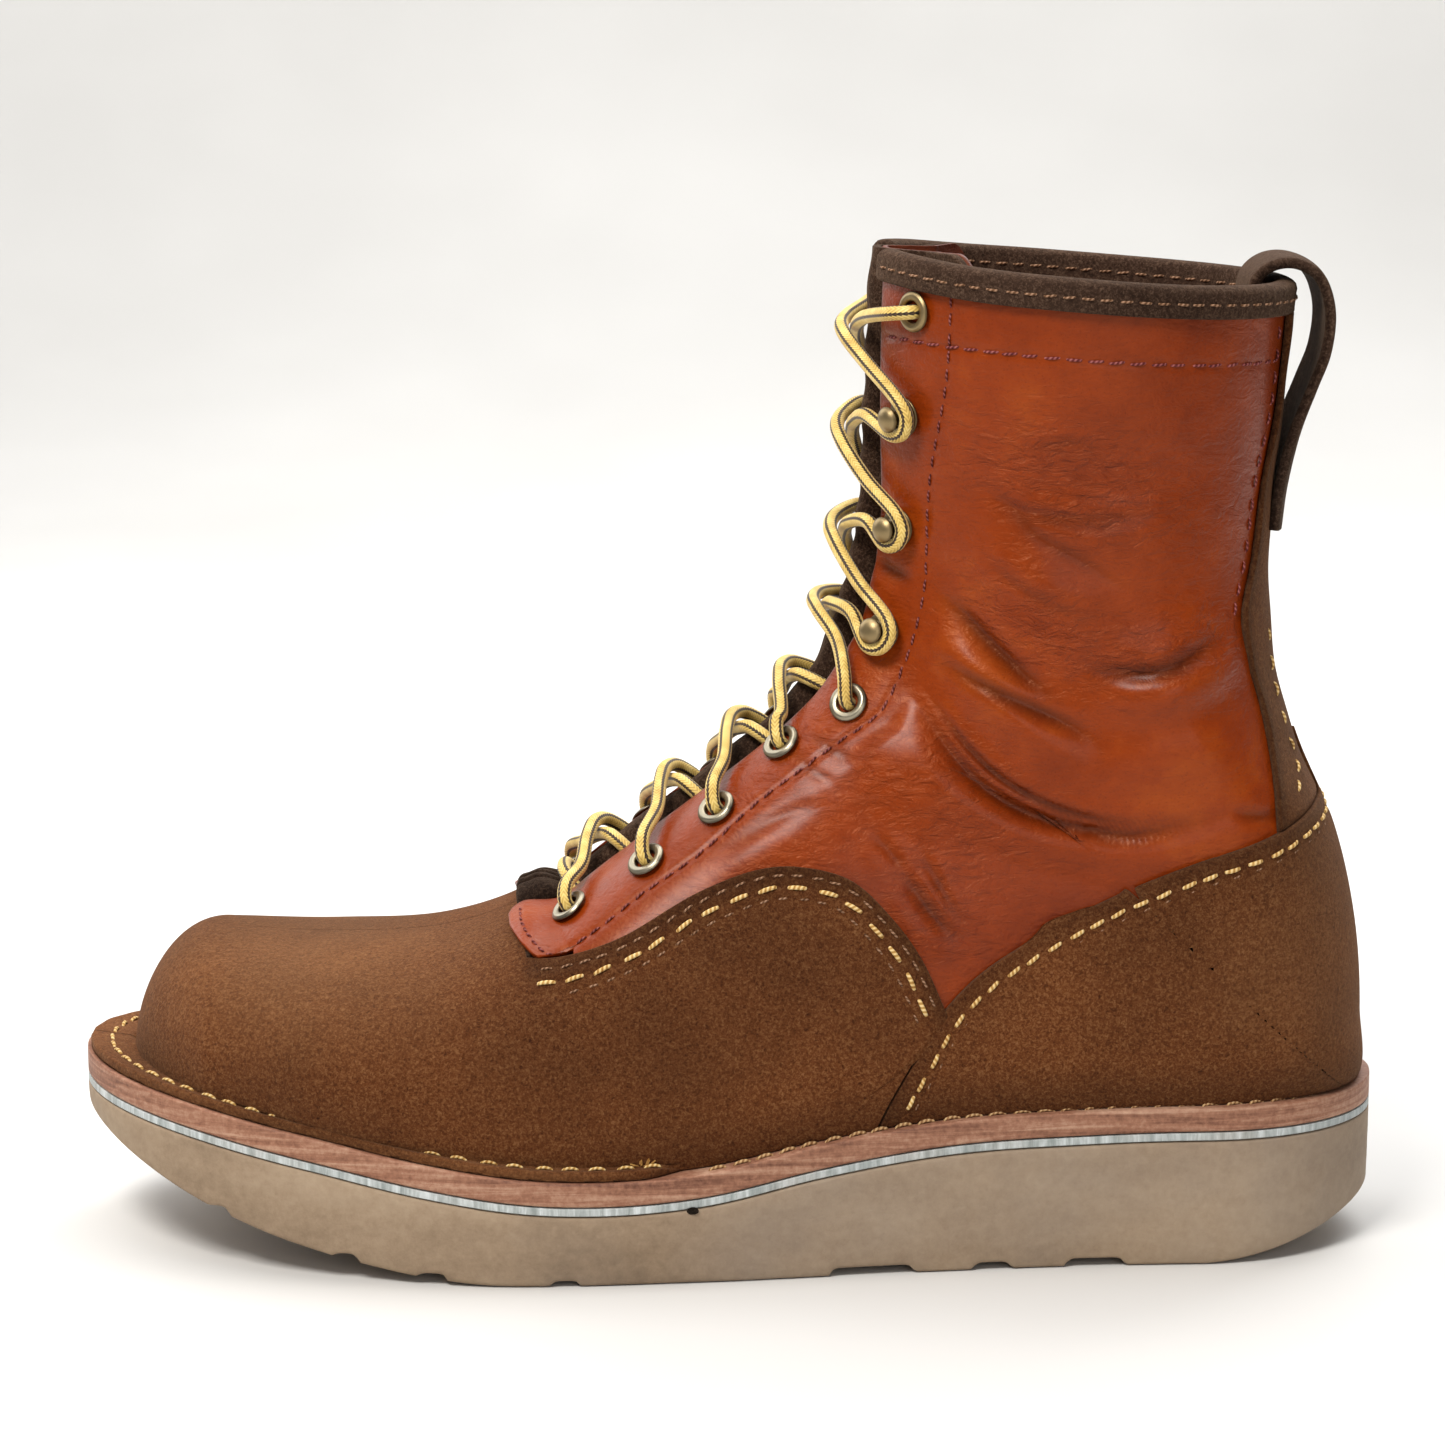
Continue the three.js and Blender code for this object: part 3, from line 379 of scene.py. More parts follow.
def tube(points, diameter, sides=16):
    """Points, faces and (around, along) coordinates of a tube along a dense line, with closed ends."""
    points = np.asarray(points, float)
    along = unit(np.gradient(points, axis=0))
    side = np.zeros_like(points)
    side[0] = unit(np.cross(along[0], [0.3, 0.2, 0.9]))
    for i in range(1, len(points)):
        side[i] = unit(side[i - 1] - along[i] * np.dot(side[i - 1], along[i]))
    other = np.cross(along, side)
    angle = np.linspace(0, 2 * np.pi, sides + 1)
    ring = np.cos(angle)[None, :, None] * side[:, None] + np.sin(angle)[None, :, None] * other[:, None]
    radius = np.broadcast_to(np.asarray(diameter, float) / 2, len(points))
    grid = points[:, None] + ring * radius[:, None, None]
    caps = [np.repeat(end[None, None], sides + 1, 1) for end in (points[0], points[-1])]
    grid = np.concatenate([caps[0], grid, caps[1]])
    run = run_length(points)
    run = np.concatenate([run[:1], run, run[-1:]])
    uv = np.stack(np.broadcast_arrays(np.linspace(0, 1, sides + 1)[None], run[:, None]), axis=-1)
    return grid.reshape(-1, 3), grid_faces(len(grid), sides + 1, 0, True), uv.reshape(-1, 2)


def turned(outline, sides=48):
    """Points and faces of a round body from its (radius, height) outline, with its axis on Z."""
    outline = np.asarray(outline, float)
    angle = np.linspace(0, 2 * np.pi, sides + 1)
    grid = np.stack([
        outline[:, :1] * np.cos(angle), outline[:, :1] * np.sin(angle),
        np.broadcast_to(outline[:, 1:], (len(outline), sides + 1)),
    ], axis=-1)
    return grid.reshape(-1, 3), grid_faces(len(outline), sides + 1, 0, True)


def capped(rings):
    """The rings of a tube with one more at either end, shrunk to its middle, so that it is closed."""
    caps = [np.broadcast_to(rings[i].mean(axis=0), rings[i].shape)[None] for i in (0, -1)]
    return np.concatenate([caps[0], rings, caps[1]])


def seat_frame(normal):
    """Three directions of a frame whose third one is the normal."""
    side = unit(np.cross([0.0, 0.0, 1.0], normal))
    return np.stack([side, np.cross(normal, side), normal])


def side_view_distance(line, x, z):
    """Distance in side view to a polyline, negative on its left, and the share along it that is nearest."""
    line = np.asarray(line, float)
    run = run_length(line)
    best = np.full(x.shape, 1e9)
    signed = np.zeros(x.shape)
    share = np.zeros(x.shape)
    for (ax, az), (bx, bz), start, end in zip(line, line[1:], run, run[1:]):
        dx, dz = bx - ax, bz - az
        q = np.clip(((x - ax) * dx + (z - az) * dz) / (dx * dx + dz * dz), 0, 1)
        gap = np.hypot(x - ax - q * dx, z - az - q * dz)
        nearer = gap < best
        sign = np.where(dx * (z - az) - dz * (x - ax) > 0, -1, 1)
        best = np.where(nearer, gap, best)
        signed = np.where(nearer, sign * gap, signed)
        share = np.where(nearer, (start + q * (end - start)) / run[-1], share)
    return signed, share


def welded(points, faces):
    """Two sheets sewn together where they meet, without the walls between them."""
    cells = np.round(points / 0.002).astype(int)
    _, first, inverse = np.unique(cells, axis=0, return_index=True, return_inverse=True)
    faces = inverse.ravel()[faces]
    _, which, count = np.unique(np.sort(faces, axis=1), axis=0, return_inverse=True, return_counts=True)
    kept = faces[count[which.ravel()] == 1]
    distinct = [list(dict.fromkeys(face)) for face in kept.tolist()]
    return points[first], [face for face in distinct if len(face) > 2], first


# ---------------------------------------------------------------- pattern lines, in side view
VAMP_EDGE = [[-46, 71.9], [-39, 73.1], [-24.9, 78.3], [-6.2, 89.1], [7.7, 94.6], [17, 95.5], [28.7, 92.7],
             [38.1, 84.3], [45.1, 74.8], [51, 62]]
COUNTER_EDGE = [[170, 114], [141.3, 108.1], [126.3, 102.2], [110.1, 97], [96.3, 91.5], [82.4, 85],
                [68.5, 77.2], [58, 70], [49.9, 61.5], [44.2, 51.9], [36, 37.3], [31, 24]]
SHAFT_TOP = [[10, 239.5], [35.8, 236], [53.8, 233.4], [78.2, 231.2], [102.6, 229.4], [127, 228.2],
             [150, 227.6]]
shaft_top = profile(SHAFT_TOP)
FACING_STITCHES = [[-39.6, 74.2], [-29.9, 80.8], [-20.4, 88.1], [-6.3, 97.7], [7.8, 109.7], [24.2, 121.6],
                   [35.8, 129.9], [40.4, 138.2], [43.8, 147.7], [46.1, 159.5], [47, 185.2], [50.3, 208.4],
                   [51.2, 229.1]]
TOP_BAND_STITCHES = [[37.2, 217.5], [60, 215.9], [85.1, 214], [107.9, 212.7], [128.5, 211.8]]
TAB_TIP_STITCHES = [[-46.9, 77.6], [-46.5, 76.4], [-44.9, 75], [-42.9, 73.9], [-41.4, 73.4], [-39.6, 74.2]]
TAB_OUTLINE = [[-50.2, 76], [-49.6, 74.9], [-47.1, 73.4], [-44.6, 72.3], [-42.8, 72.1]]
BACKSTAY_EDGE = [[130.4, 225.8], [128.6, 202.9], [124.8, 184.2], [122.4, 165.3], [119.9, 153], [121.7, 141.6],
                 [124.5, 132.1], [126.9, 120.1], [128.2, 104]]
BACKSTAY_STITCHES = [[125.6, 149.5], [126.3, 145.9], [127.8, 135.3], [131.1, 122.8], [133.2, 116.6],
                     [132.7, 109.4]]


def path_on_last(line, per_span=10):
    """(t, v) along a smooth side-view line, on the inner side."""
    x, z = spline(line, per_span).T
    return np.stack(locate(x, z), axis=1)


def beside(line, distance):
    """A side-view line moved to its left by a distance."""
    line = spline(line, 8)
    along = unit(np.gradient(line, axis=0))
    return line + distance * np.stack([-along[:, 1], along[:, 0]], axis=1)


def down_to_feather(line):
    """The part of a side-view line above the feather line, ending on it, as (t, v)."""
    line = np.array([p for p in line if p[1] > feather_top(p[0]) + 0.2])
    path = np.stack(locate(line[:, 0], line[:, 1]), axis=1)
    return np.concatenate([path, [[path[-1, 0] - 0.02, 1]]])


# ---------------------------------------------------------------- folds in the soft leather
# [side-view line, depth, half width of the groove, height of the soft roll under it]
FOLDS = [
    [[[46.6, 161.4], [54.8, 153.9], [64.8, 143.9], [74.9, 135.6], [79.8, 133]], 1.0, 1.5, 0.7],
    [[[46.3, 145.7], [58.6, 138.7], [71.2, 132.6], [82.4, 127.4], [89.9, 121.7]], 0.9, 1.4, 0.9],
    [[[40, 138.6], [46.3, 130.3], [52.7, 120.9], [60.6, 113.1], [71.4, 107.4], [84, 104.3], [93.3, 103.2],
      [105.6, 105.5], [122.9, 109.3]], 1.5, 1.3, 1.0],
    [[[43.5, 139.3], [49.8, 131.5], [56.1, 123], [64.1, 115.7], [73.9, 110.5], [84.4, 107.4], [93.7, 106.5],
      [106.4, 108.9]], 0.9, 0.9, 0.2],
    [[[80.3, 144.3], [86.6, 142], [94, 141.3], [102.1, 142.4], [111.2, 146.9], [117.4, 152.1]],
     1.5, 1.7, 1.1],
    [[[33.6, 165], [39, 162.2], [44.6, 160.3]], 1.3, 1.3, 0.7],
    [[[62, 182], [68.8, 178], [76, 176.3], [83.3, 175.6], [92.8, 176.1], [98, 177.6]], 0.35, 0.8, 0.1],
    [[[57.1, 184.6], [63, 180.4], [71.6, 178.5], [81.8, 177.6], [92.7, 178], [102.4, 179.2]], 0.4, 0.8, 0.1],
    [[[65.6, 193.3], [71.3, 194.2], [77, 195.1], [82.8, 194.4], [87.2, 192.9]], 0.3, 0.8, 0.1],
    [[[55, 186.7], [64.4, 180.5], [71.7, 173.3], [82, 167.5], [89.4, 163.1], [96.9, 159.3]], 0.4, 1.4, 0.3],
    [[[58, 170.5], [66, 163.5], [76, 157.6], [88, 152.6]], 0.3, 1.2, 0.3],
    [[[131.9, 106.5], [123.9, 107.2], [116, 108.4]], 0.5, 1.1, 0.2],
    [[[40, 95.5], [44.5, 89.6], [49, 83.6], [54.6, 77.6]], 0.6, 1.2, 0.5],
    [[[44, 101], [48.6, 93], [52.6, 86], [56, 80.4]], 0.35, 0.9, 0.2],
    [[[33, 104], [38.5, 98.5], [42, 93.5]], 0.3, 0.9, 0.2],
    [[[-8, 95.5], [2, 101.5], [13, 107], [24, 110.5]], 0.3, 1.4, 0.3],
    [[[14, 121], [20, 116.6], [26, 114.2]], 0.35, 1.0, 0.2],
    [[[18, 125.6], [25, 121], [31, 118.6]], 0.35, 1.0, 0.2],
]
# Broad swellings: [x, z, half length, half height, tilt in degrees, height]
SWELLINGS = [
    [72, 160, 17, 8, -35, 1.3], [104, 140, 13, 8, 20, 1.0], [62, 136.5, 17, 5, -35, 1.1],
    [66, 122, 24, 8, -30, 1.0], [44, 116, 16, 9, -40, 1.1], [84, 187, 24, 9, 0, -0.7],
    [100, 122, 18, 9, 10, 0.9],
]
FOLD_STRENGTH = 1.3
FOLD_SPREAD = 1.3
SWELLING_STRENGTH = 2.5
WRINKLED = [[82, 186, 26, 12, -18, 1.0], [74, 152, 18, 9, -35, 0.8], [55, 108, 20, 16, -40, 0.6],
            [100, 148, 16, 8, 15, 0.8], [50, 85, 12, 10, -50, 0.7], [20, 115, 22, 12, 35, 0.7]]


def hills(shapes, x, z):
    total = np.zeros_like(x)
    for cx, cz, length, height, tilt, top in shapes:
        a = math.radians(tilt)
        across_x = ((x - cx) * math.cos(a) + (z - cz) * math.sin(a)) / length
        across_z = ((z - cz) * math.cos(a) - (x - cx) * math.sin(a)) / height
        total += top * np.exp(-(across_x**2 + across_z**2))
    return total


def folded(x, z, side):
    """Offset of the shaft's surface from its folds, and how deep in a fold each point is."""
    if side > 0:
        x, z = x + 2.5, z - 3  # the inner side creases a little differently
    offset = SWELLING_STRENGTH * hills(SWELLINGS, x, z)
    shade = np.zeros_like(x)
    for line, depth, width, roll in FOLDS:
        depth, width, roll = depth * FOLD_STRENGTH, width * FOLD_SPREAD, roll * FOLD_STRENGTH
        signed, share = side_view_distance(spline(line, 14), x, z)
        fade = smoothstep(0, 0.4, share) * smoothstep(1, 0.6, share)
        groove = np.exp(-((signed / width) ** 2)) * fade
        offset += -depth * groove + roll * np.exp(-(((signed - 3 * width) / (2.2 * width)) ** 2)) * fade
        offset += 0.5 * roll * np.exp(-(((signed + 2.4 * width) / (1.6 * width)) ** 2)) * fade
        shade = np.maximum(shade, groove * min(depth, 1))
    return offset, shade


def grooves(lines, x, z, depth=0.3, width=0.8):
    """Offset of a surface pulled in along its stitch rows."""
    total = np.zeros_like(x)
    for line in lines:
        signed, _ = side_view_distance(line, x, z)
        total -= depth * np.exp(-((signed / width) ** 2))
    return total


# ---------------------------------------------------------------- camera and light
def aim(piece, target):
    piece.rotation_euler = (Vector(target) - piece.location).to_track_quat("-Z", "Y").to_euler()


camera = bpy.data.objects.new("camera", bpy.data.cameras.new("camera"))
bpy.context.scene.collection.objects.link(camera)
camera.data.sensor_width = 36
camera.data.lens = 111.86
camera.location = in_metres([-1, -1060, 318])
aim(camera, in_metres([-1, 0, 123]))
bpy.context.scene.camera = camera

# [name, place, target, size, power, colour]
LIGHTS = [
    ["key", [-420, -760, 1150], [0, 0, 90], 0.45, 17.5, (1, 0.97, 0.93)],
    ["front", [350, -1250, 420], [20, 0, 100], 0.7, 3, (1, 0.98, 0.96)],
    ["rim", [500, 800, 900], [30, 0, 120], 0.8, 9, (0.95, 0.97, 1)],
    ["back", [-700, 500, 600], [-40, 0, 80], 0.7, 4, (0.97, 0.98, 1)],
    ["sweep", [0, 500, 1500], [0, 1500, 350], 1.6, 30, (1, 0.99, 0.97)],
]
for light_name, place, target, size, power, colour in LIGHTS:
    lamp = bpy.data.objects.new(light_name, bpy.data.lights.new(light_name, "AREA"))
    bpy.context.scene.collection.objects.link(lamp)
    lamp.data.size = size
    lamp.data.energy = power
    lamp.data.color = colour
    lamp.location = in_metres(place)
    aim(lamp, in_metres(target))
world = bpy.data.worlds.new("studio")
world.use_nodes = True
world.node_tree.nodes["Background"].inputs["Color"].default_value = (0.9, 0.93, 1, 1)
world.node_tree.nodes["Background"].inputs["Strength"].default_value = 0.2
bpy.context.scene.world = world
bpy.context.scene.view_settings.view_transform = "Standard"


# ---------------------------------------------------------------- materials
BRAID_STRIPES = 4  # dark stripes around the lace
BRAID_PITCH = 0.95  # mm along the lace from strand to strand
BRAID_LEAN = 3.2


class Look:
    """A procedural material around one Principled shader, in the piece's own coordinates (metres)."""

    def __init__(self, name, **uniform):
        self.material = bpy.data.materials.new(name)
        self.material.use_nodes = True
        self.tree = self.material.node_tree
        self.shader = self.tree.nodes["Principled BSDF"]
        for socket, value in uniform.items():
            self.shader.inputs[socket.replace("_", " ")].default_value = value
        self.place = self.node("ShaderNodeTexCoord").outputs["Object"]

    def node(self, kind, inputs=None, **settings):
        made = self.tree.nodes.new(kind)
        for setting, value in settings.items():
            setattr(made, setting, value)
        for socket, value in (inputs or {}).items():
            if isinstance(value, bpy.types.NodeSocket):
                self.tree.links.new(value, made.inputs[socket])
            else:
                made.inputs[socket].default_value = value
        return made

    def noise(self, scale, detail=4, roughness=0.6, stretch=None, distortion=0):
        place = self.place
        if stretch:
            place = self.node("ShaderNodeMapping", {0: place, "Scale": stretch}).outputs[0]
        inputs = {"Vector": place, "Scale": scale, "Detail": detail, "Roughness": roughness,
                  "Distortion": distortion}
        return self.node("ShaderNodeTexNoise", inputs).outputs[0]

    def cells(self, scale, feature="F1", randomness=1):
        made = self.node("ShaderNodeTexVoronoi", {"Vector": self.place, "Scale": scale}, feature=feature)
        made.inputs["Randomness"].default_value = randomness
        return made.outputs["Distance"]

    def mark(self, name):
        return self.node("ShaderNodeAttribute", attribute_name=name).outputs["Fac"]

    def sum(self, a, b, operation="ADD"):
        return self.node("ShaderNodeMath", {0: a, 1: b}, operation=operation).outputs[0]

    def ramp(self, share, stops):
        made = self.node("ShaderNodeValToRGB", {0: share})
        ramp = made.color_ramp
        for _ in stops[2:]:
            ramp.elements.new(0.5)
        for element, (position, colour) in zip(ramp.elements, stops):
            element.position = position
            element.color = (*colour, 1) if hasattr(colour, "__len__") else (colour, colour, colour, 1)
        return made.outputs[0]

    def blend(self, share, a, b, mode="MIX"):
        made = self.node("ShaderNodeMix", data_type="RGBA", blend_type=mode)
        sockets = {0: share, 6: a, 7: b}
        for index, value in sockets.items():
            if isinstance(value, bpy.types.NodeSocket):
                self.tree.links.new(value, made.inputs[index])
            elif index:
                made.inputs[index].default_value = (*value, 1)
            else:
                made.inputs[index].default_value = value
        return made.outputs[2]

    def spread(self, share, low, high):
        made = self.node("ShaderNodeMapRange", {0: share, 3: low, 4: high})
        return made.outputs[0]

    def bumps(self, *layers):
        """Bump from (height, strength, depth in mm) layers, one on top of another."""
        normal = None
        for height, strength, depth in layers:
            inputs = {"Height": height, "Strength": strength, "Distance": depth / 1000}
            if normal is not None:
                inputs["Normal"] = normal
            normal = self.node("ShaderNodeBump", inputs).outputs[0]
        self.use("Normal", normal)

    def use(self, socket, value):
        self.tree.links.new(value, self.shader.inputs[socket])


def roughout(name, dark, mean, light, dusty):
    """Leather worn flesh side out: a short, matted nap with dusty high places."""
    look = Look(name, Roughness=0.95, Sheen_Weight=0.1, Sheen_Roughness=0.5, Sheen_Tint=(0.9, 0.6, 0.38, 1),
                Specular_IOR_Level=0.1)
    fibres = look.noise(1500, 5, 0.72, distortion=0.8)
    nap = look.noise(760, 6, 0.75, distortion=0.4)
    patches = look.noise(28, 4, 0.6)
    mixed = look.sum(look.spread(fibres, -0.28, 0.9), look.sum(nap, 0.42, "MULTIPLY"))
    colour = look.ramp(mixed, [(0.26, dark), (0.5, mean), (0.78, light)])
    worn = look.sum(look.mark("dust"), look.spread(patches, -0.3, 0.22))
    worn = look.sum(worn, look.spread(nap, 0.1, 0.9), "MULTIPLY")
    colour = look.blend(look.ramp(worn, [(0.05, 0.0), (0.75, 0.85)]), colour, dusty)
    broad = look.ramp(look.noise(12, 3, 0.55), [(0.36, 0.62), (0.62, 1.0)])
    colour = look.blend(1.0, colour, broad, "MULTIPLY")
    shaded = look.ramp(look.mark("shade"), [(0, 1.0), (1, 0.3)])
    look.use("Base Color", look.blend(1.0, colour, shaded, "MULTIPLY"))
    look.bumps((look.noise(160, 4, 0.6), 0.3, 0.8), (nap, 0.6, 0.8), (fibres, 0.6, 0.3))
    return look.material


def smooth_leather(name, deep, mean, light, coat=0.2, roughness=(0.3, 0.44)):
    """Oiled full-grain leather: fine pores, darker in the folds from painted shade carried in the shade mark.
    """
    look = Look(name, Specular_IOR_Level=0.3, Specular_Tint=(1, 0.45, 0.22, 1), Coat_Weight=coat,
                Coat_Roughness=0.24)
    clouds = look.noise(16, 5, 0.55)
    mottled = look.noise(120, 5, 0.65)
    tone = look.sum(look.spread(clouds, 0.1, 0.75), look.spread(mottled, -0.14, 0.22))
    colour = look.ramp(tone, [(0.18, deep), (0.5, mean), (0.86, light)])
    pores = look.cells(1050, randomness=0.9)
    colour = look.blend(look.ramp(pores, [(0.0, 0.28), (0.3, 0.0)]), colour, deep, "MULTIPLY")
    shaded = look.ramp(look.mark("shade"), [(0, 1.0), (1, 0.2)])
    look.use("Base Color", look.blend(1.0, colour, shaded, "MULTIPLY"))
    look.use("Roughness", look.spread(look.noise(90, 5, 0.7), roughness[0], roughness[1]))
    crumple = look.noise(300, 4, 0.6, stretch=(0.6, 0.6, 1.35), distortion=0.8)
    crumple = look.sum(crumple, look.mark("wrinkle"), "MULTIPLY")
    grain, dents = look.noise(560, 4, 0.65), look.noise(70, 4, 0.5)
    look.bumps((grain, 0.22, 0.5), (crumple, 1.0, 2.1), (dents, 0.25, 1.2), (pores, 0.28, 0.22))
    return look.material


def thread(name, dark, mean, light):
    look = Look(name, Roughness=0.75, Specular_IOR_Level=0.12)
    twist = look.node("ShaderNodeTexWave", {"Vector": look.node("ShaderNodeUVMap").outputs[0], "Scale": 0.55,
                                            "Distortion": 1.2}, bands_direction="DIAGONAL").outputs["Fac"]
    soil = look.noise(240, 4, 0.6)
    tone = look.sum(look.sum(twist, 0.45, "MULTIPLY"), look.sum(soil, 0.6, "MULTIPLY"))
    look.use("Base Color", look.ramp(tone, [(0.2, dark), (0.5, mean), (0.8, light)]))
    look.bumps((twist, 0.6, 0.15))
    return look.material


def crepe_rubber():
    look = Look("crepe", Roughness=0.8, Specular_IOR_Level=0.3)
    grain = look.noise(420, 6, 0.7)
    clouds = look.noise(22, 5, 0.6, stretch=(0.5, 1, 1.4))
    tone = look.sum(look.sum(clouds, 0.7, "MULTIPLY"), look.sum(grain, 0.35, "MULTIPLY"))
    beiges = [(0.3, (0.17, 0.115, 0.07)), (0.52, (0.3, 0.215, 0.14)), (0.75, (0.42, 0.32, 0.22))]
    colour = look.ramp(tone, beiges)
    dirt = look.noise(9, 5, 0.6)
    colour = look.blend(look.ramp(dirt, [(0.5, 0.0), (0.75, 0.5)]), colour, (0.2, 0.17, 0.15))
    look.use("Base Color", colour)
    look.bumps((clouds, 0.3, 1.5), (grain, 0.5, 0.35))
    return look.material


def edge_leather():
    """The midsole's cut edge: layered fibres, sanded and waxed a reddish tan."""
    look = Look("midsole_edge", Roughness=0.62, Specular_IOR_Level=0.35)
    layers = look.noise(150, 5, 0.65, stretch=(0.16, 0.16, 3.2), distortion=0.5)
    fibres = look.noise(700, 4, 0.7)
    tone = look.sum(look.sum(layers, 0.65, "MULTIPLY"), look.sum(fibres, 0.35, "MULTIPLY"))
    tans = [(0.34, (0.11, 0.038, 0.02)), (0.5, (0.29, 0.13, 0.075)), (0.68, (0.5, 0.3, 0.2))]
    colour = look.ramp(tone, tans)
    look.use("Base Color", colour)
    look.bumps((layers, 0.6, 0.5), (fibres, 0.5, 0.2))
    return look.material


def pale_rubber():
    look = Look("bumper", Roughness=0.75, Specular_IOR_Level=0.3)
    strokes = look.noise(260, 4, 0.7, stretch=(2.0, 2.0, 0.25), distortion=0.3)
    soil = look.noise(40, 4, 0.6)
    greys = [(0.36, (0.26, 0.29, 0.28)), (0.52, (0.42, 0.45, 0.44)), (0.7, (0.62, 0.66, 0.66))]
    colour = look.ramp(strokes, greys)
    look.use("Base Color", look.blend(look.ramp(soil, [(0.5, 0.0), (0.8, 0.45)]), colour, (0.3, 0.2, 0.13)))
    look.bumps((strokes, 0.6, 0.2))
    return look.material


def plain_leather(name, dark, mean, light, scale=300, roughness=0.8):
    look = Look(name, Roughness=roughness, Specular_IOR_Level=0.3)
    fibres = look.noise(scale, 6, 0.68, distortion=0.5)
    clouds = look.noise(18, 4, 0.6)
    tone = look.sum(look.sum(fibres, 0.55, "MULTIPLY"), look.sum(clouds, 0.45, "MULTIPLY"))
    look.use("Base Color", look.ramp(tone, [(0.32, dark), (0.5, mean), (0.68, light)]))
    look.bumps((fibres, 0.5, 0.35), (look.noise(1300, 3, 0.6), 0.3, 0.1))
    return look.material


def metal(name, tarnished, bright, roughness=(0.22, 0.5)):
    look = Look(name, Metallic=1.0)
    patina = look.noise(330, 5, 0.65)
    scratches = look.noise(900, 3, 0.6, stretch=(1, 1, 0.2))
    rubbed = look.sum(look.mark("rubbed"), look.spread(patina, -0.3, 0.3))
    look.use("Base Color", look.ramp(rubbed, [(0.15, tarnished), (0.75, bright)]))
    look.use("Roughness", look.spread(patina, roughness[0], roughness[1]))
    look.bumps((patina, 0.15, 0.2), (scratches, 0.1, 0.05))
    return look.material


def braided_lace():
    """Round braided lace: two yellow bands with a dark brown herringbone between them."""
    look = Look("braid", Roughness=0.58, Sheen_Weight=0.15, Specular_IOR_Level=0.35)
    parts = look.node("ShaderNodeSeparateXYZ", {0: look.node("ShaderNodeUVMap").outputs[0]})
    around, along = parts.outputs[0], parts.outputs[1]
    from_stripe = look.sum(look.sum(around, BRAID_STRIPES, "MULTIPLY"), 0.5, "PINGPONG")
    # Strands lean one way on one side of a stripe and the other way on the other side.
    lean = look.sum(look.sum(from_stripe, BRAID_LEAN, "MULTIPLY"), along, "ADD")
    strands = look.sum(look.sum(lean, BRAID_PITCH / 2, "PINGPONG"), 2 / BRAID_PITCH, "MULTIPLY")
    edge = look.sum(from_stripe, look.sum(strands, 0.09, "MULTIPLY"))
    dark = look.ramp(edge, [(0.17, 1.0), (0.2, 0.0)])
    soil = look.noise(300, 4)
    tone = look.sum(look.sum(strands, 0.28, "MULTIPLY"), look.sum(soil, 0.72, "MULTIPLY"))
    yellows = [(0.22, (0.34, 0.19, 0.03)), (0.5, (0.66, 0.45, 0.11)), (0.78, (0.85, 0.68, 0.27))]
    yellow = look.ramp(tone, yellows)
    brown = look.ramp(strands, [(0.2, (0.012, 0.006, 0.003)), (0.8, (0.07, 0.035, 0.014))])
    look.use("Base Color", look.blend(dark, yellow, brown))
    look.bumps((strands, 0.35, 0.14))
    return look.material


VAMP_LOOK = roughout("brown_roughout", (0.03, 0.008, 0.002), (0.124, 0.037, 0.0095), (0.26, 0.115, 0.043),
                     (0.25, 0.125, 0.054))
BINDING_LOOK = roughout("dark_roughout", (0.005, 0.002, 0.001), (0.03, 0.013, 0.007), (0.13, 0.078, 0.05),
                        (0.13, 0.08, 0.055))
REDWOOD = smooth_leather("redwood", (0.1, 0.009, 0.001), (0.225, 0.029, 0.002), (0.4, 0.08, 0.006))
TONGUE_LINING = smooth_leather("tongue_lining_leather", (0.045, 0.01, 0.005), (0.12, 0.026, 0.012),
                               (0.19, 0.05, 0.024), coat=0.05, roughness=(0.5, 0.65))
YELLOW_THREAD = thread("yellow_thread", (0.24, 0.1, 0.02), (0.55, 0.34, 0.11), (0.8, 0.6, 0.3))
BROWN_THREAD = thread("brown_thread", (0.05, 0.022, 0.01), (0.18, 0.09, 0.045), (0.36, 0.21, 0.13))
RED_THREAD = thread("red_thread", (0.04, 0.006, 0.005), (0.13, 0.025, 0.02), (0.3, 0.1, 0.09))
MAUVE_THREAD = thread("mauve_thread", (0.05, 0.01, 0.012), (0.16, 0.03, 0.028), (0.33, 0.11, 0.1))
SOLE_THREAD = thread("sole_thread", (0.14, 0.06, 0.02), (0.36, 0.2, 0.09), (0.58, 0.4, 0.2))
CREPE = crepe_rubber()
MIDSOLE_LOOK = edge_leather()
BUMPER_LOOK = pale_rubber()
INSOLE_LOOK = plain_leather("insole", (0.22, 0.13, 0.07), (0.42, 0.27, 0.15), (0.58, 0.41, 0.26), 140)
FLESH_SIDE = plain_leather("flesh_side", (0.07, 0.03, 0.016), (0.19, 0.095, 0.05), (0.3, 0.17, 0.1))
LINING = plain_leather("lining", (0.2, 0.11, 0.06), (0.34, 0.21, 0.12), (0.48, 0.33, 0.2))
CORK = plain_leather("cork", (0.09, 0.05, 0.025), (0.24, 0.14, 0.07), (0.42, 0.27, 0.15), 190, 0.95)
SHANK_STEEL = metal("shank_steel", (0.3, 0.3, 0.31), (0.6, 0.61, 0.62))
NICKEL = metal("nickel", (0.045, 0.034, 0.022), (0.34, 0.3, 0.22))
BRASS = metal("antique_brass", (0.05, 0.033, 0.016), (0.3, 0.22, 0.11), (0.3, 0.55))
BRAID = braided_lace()


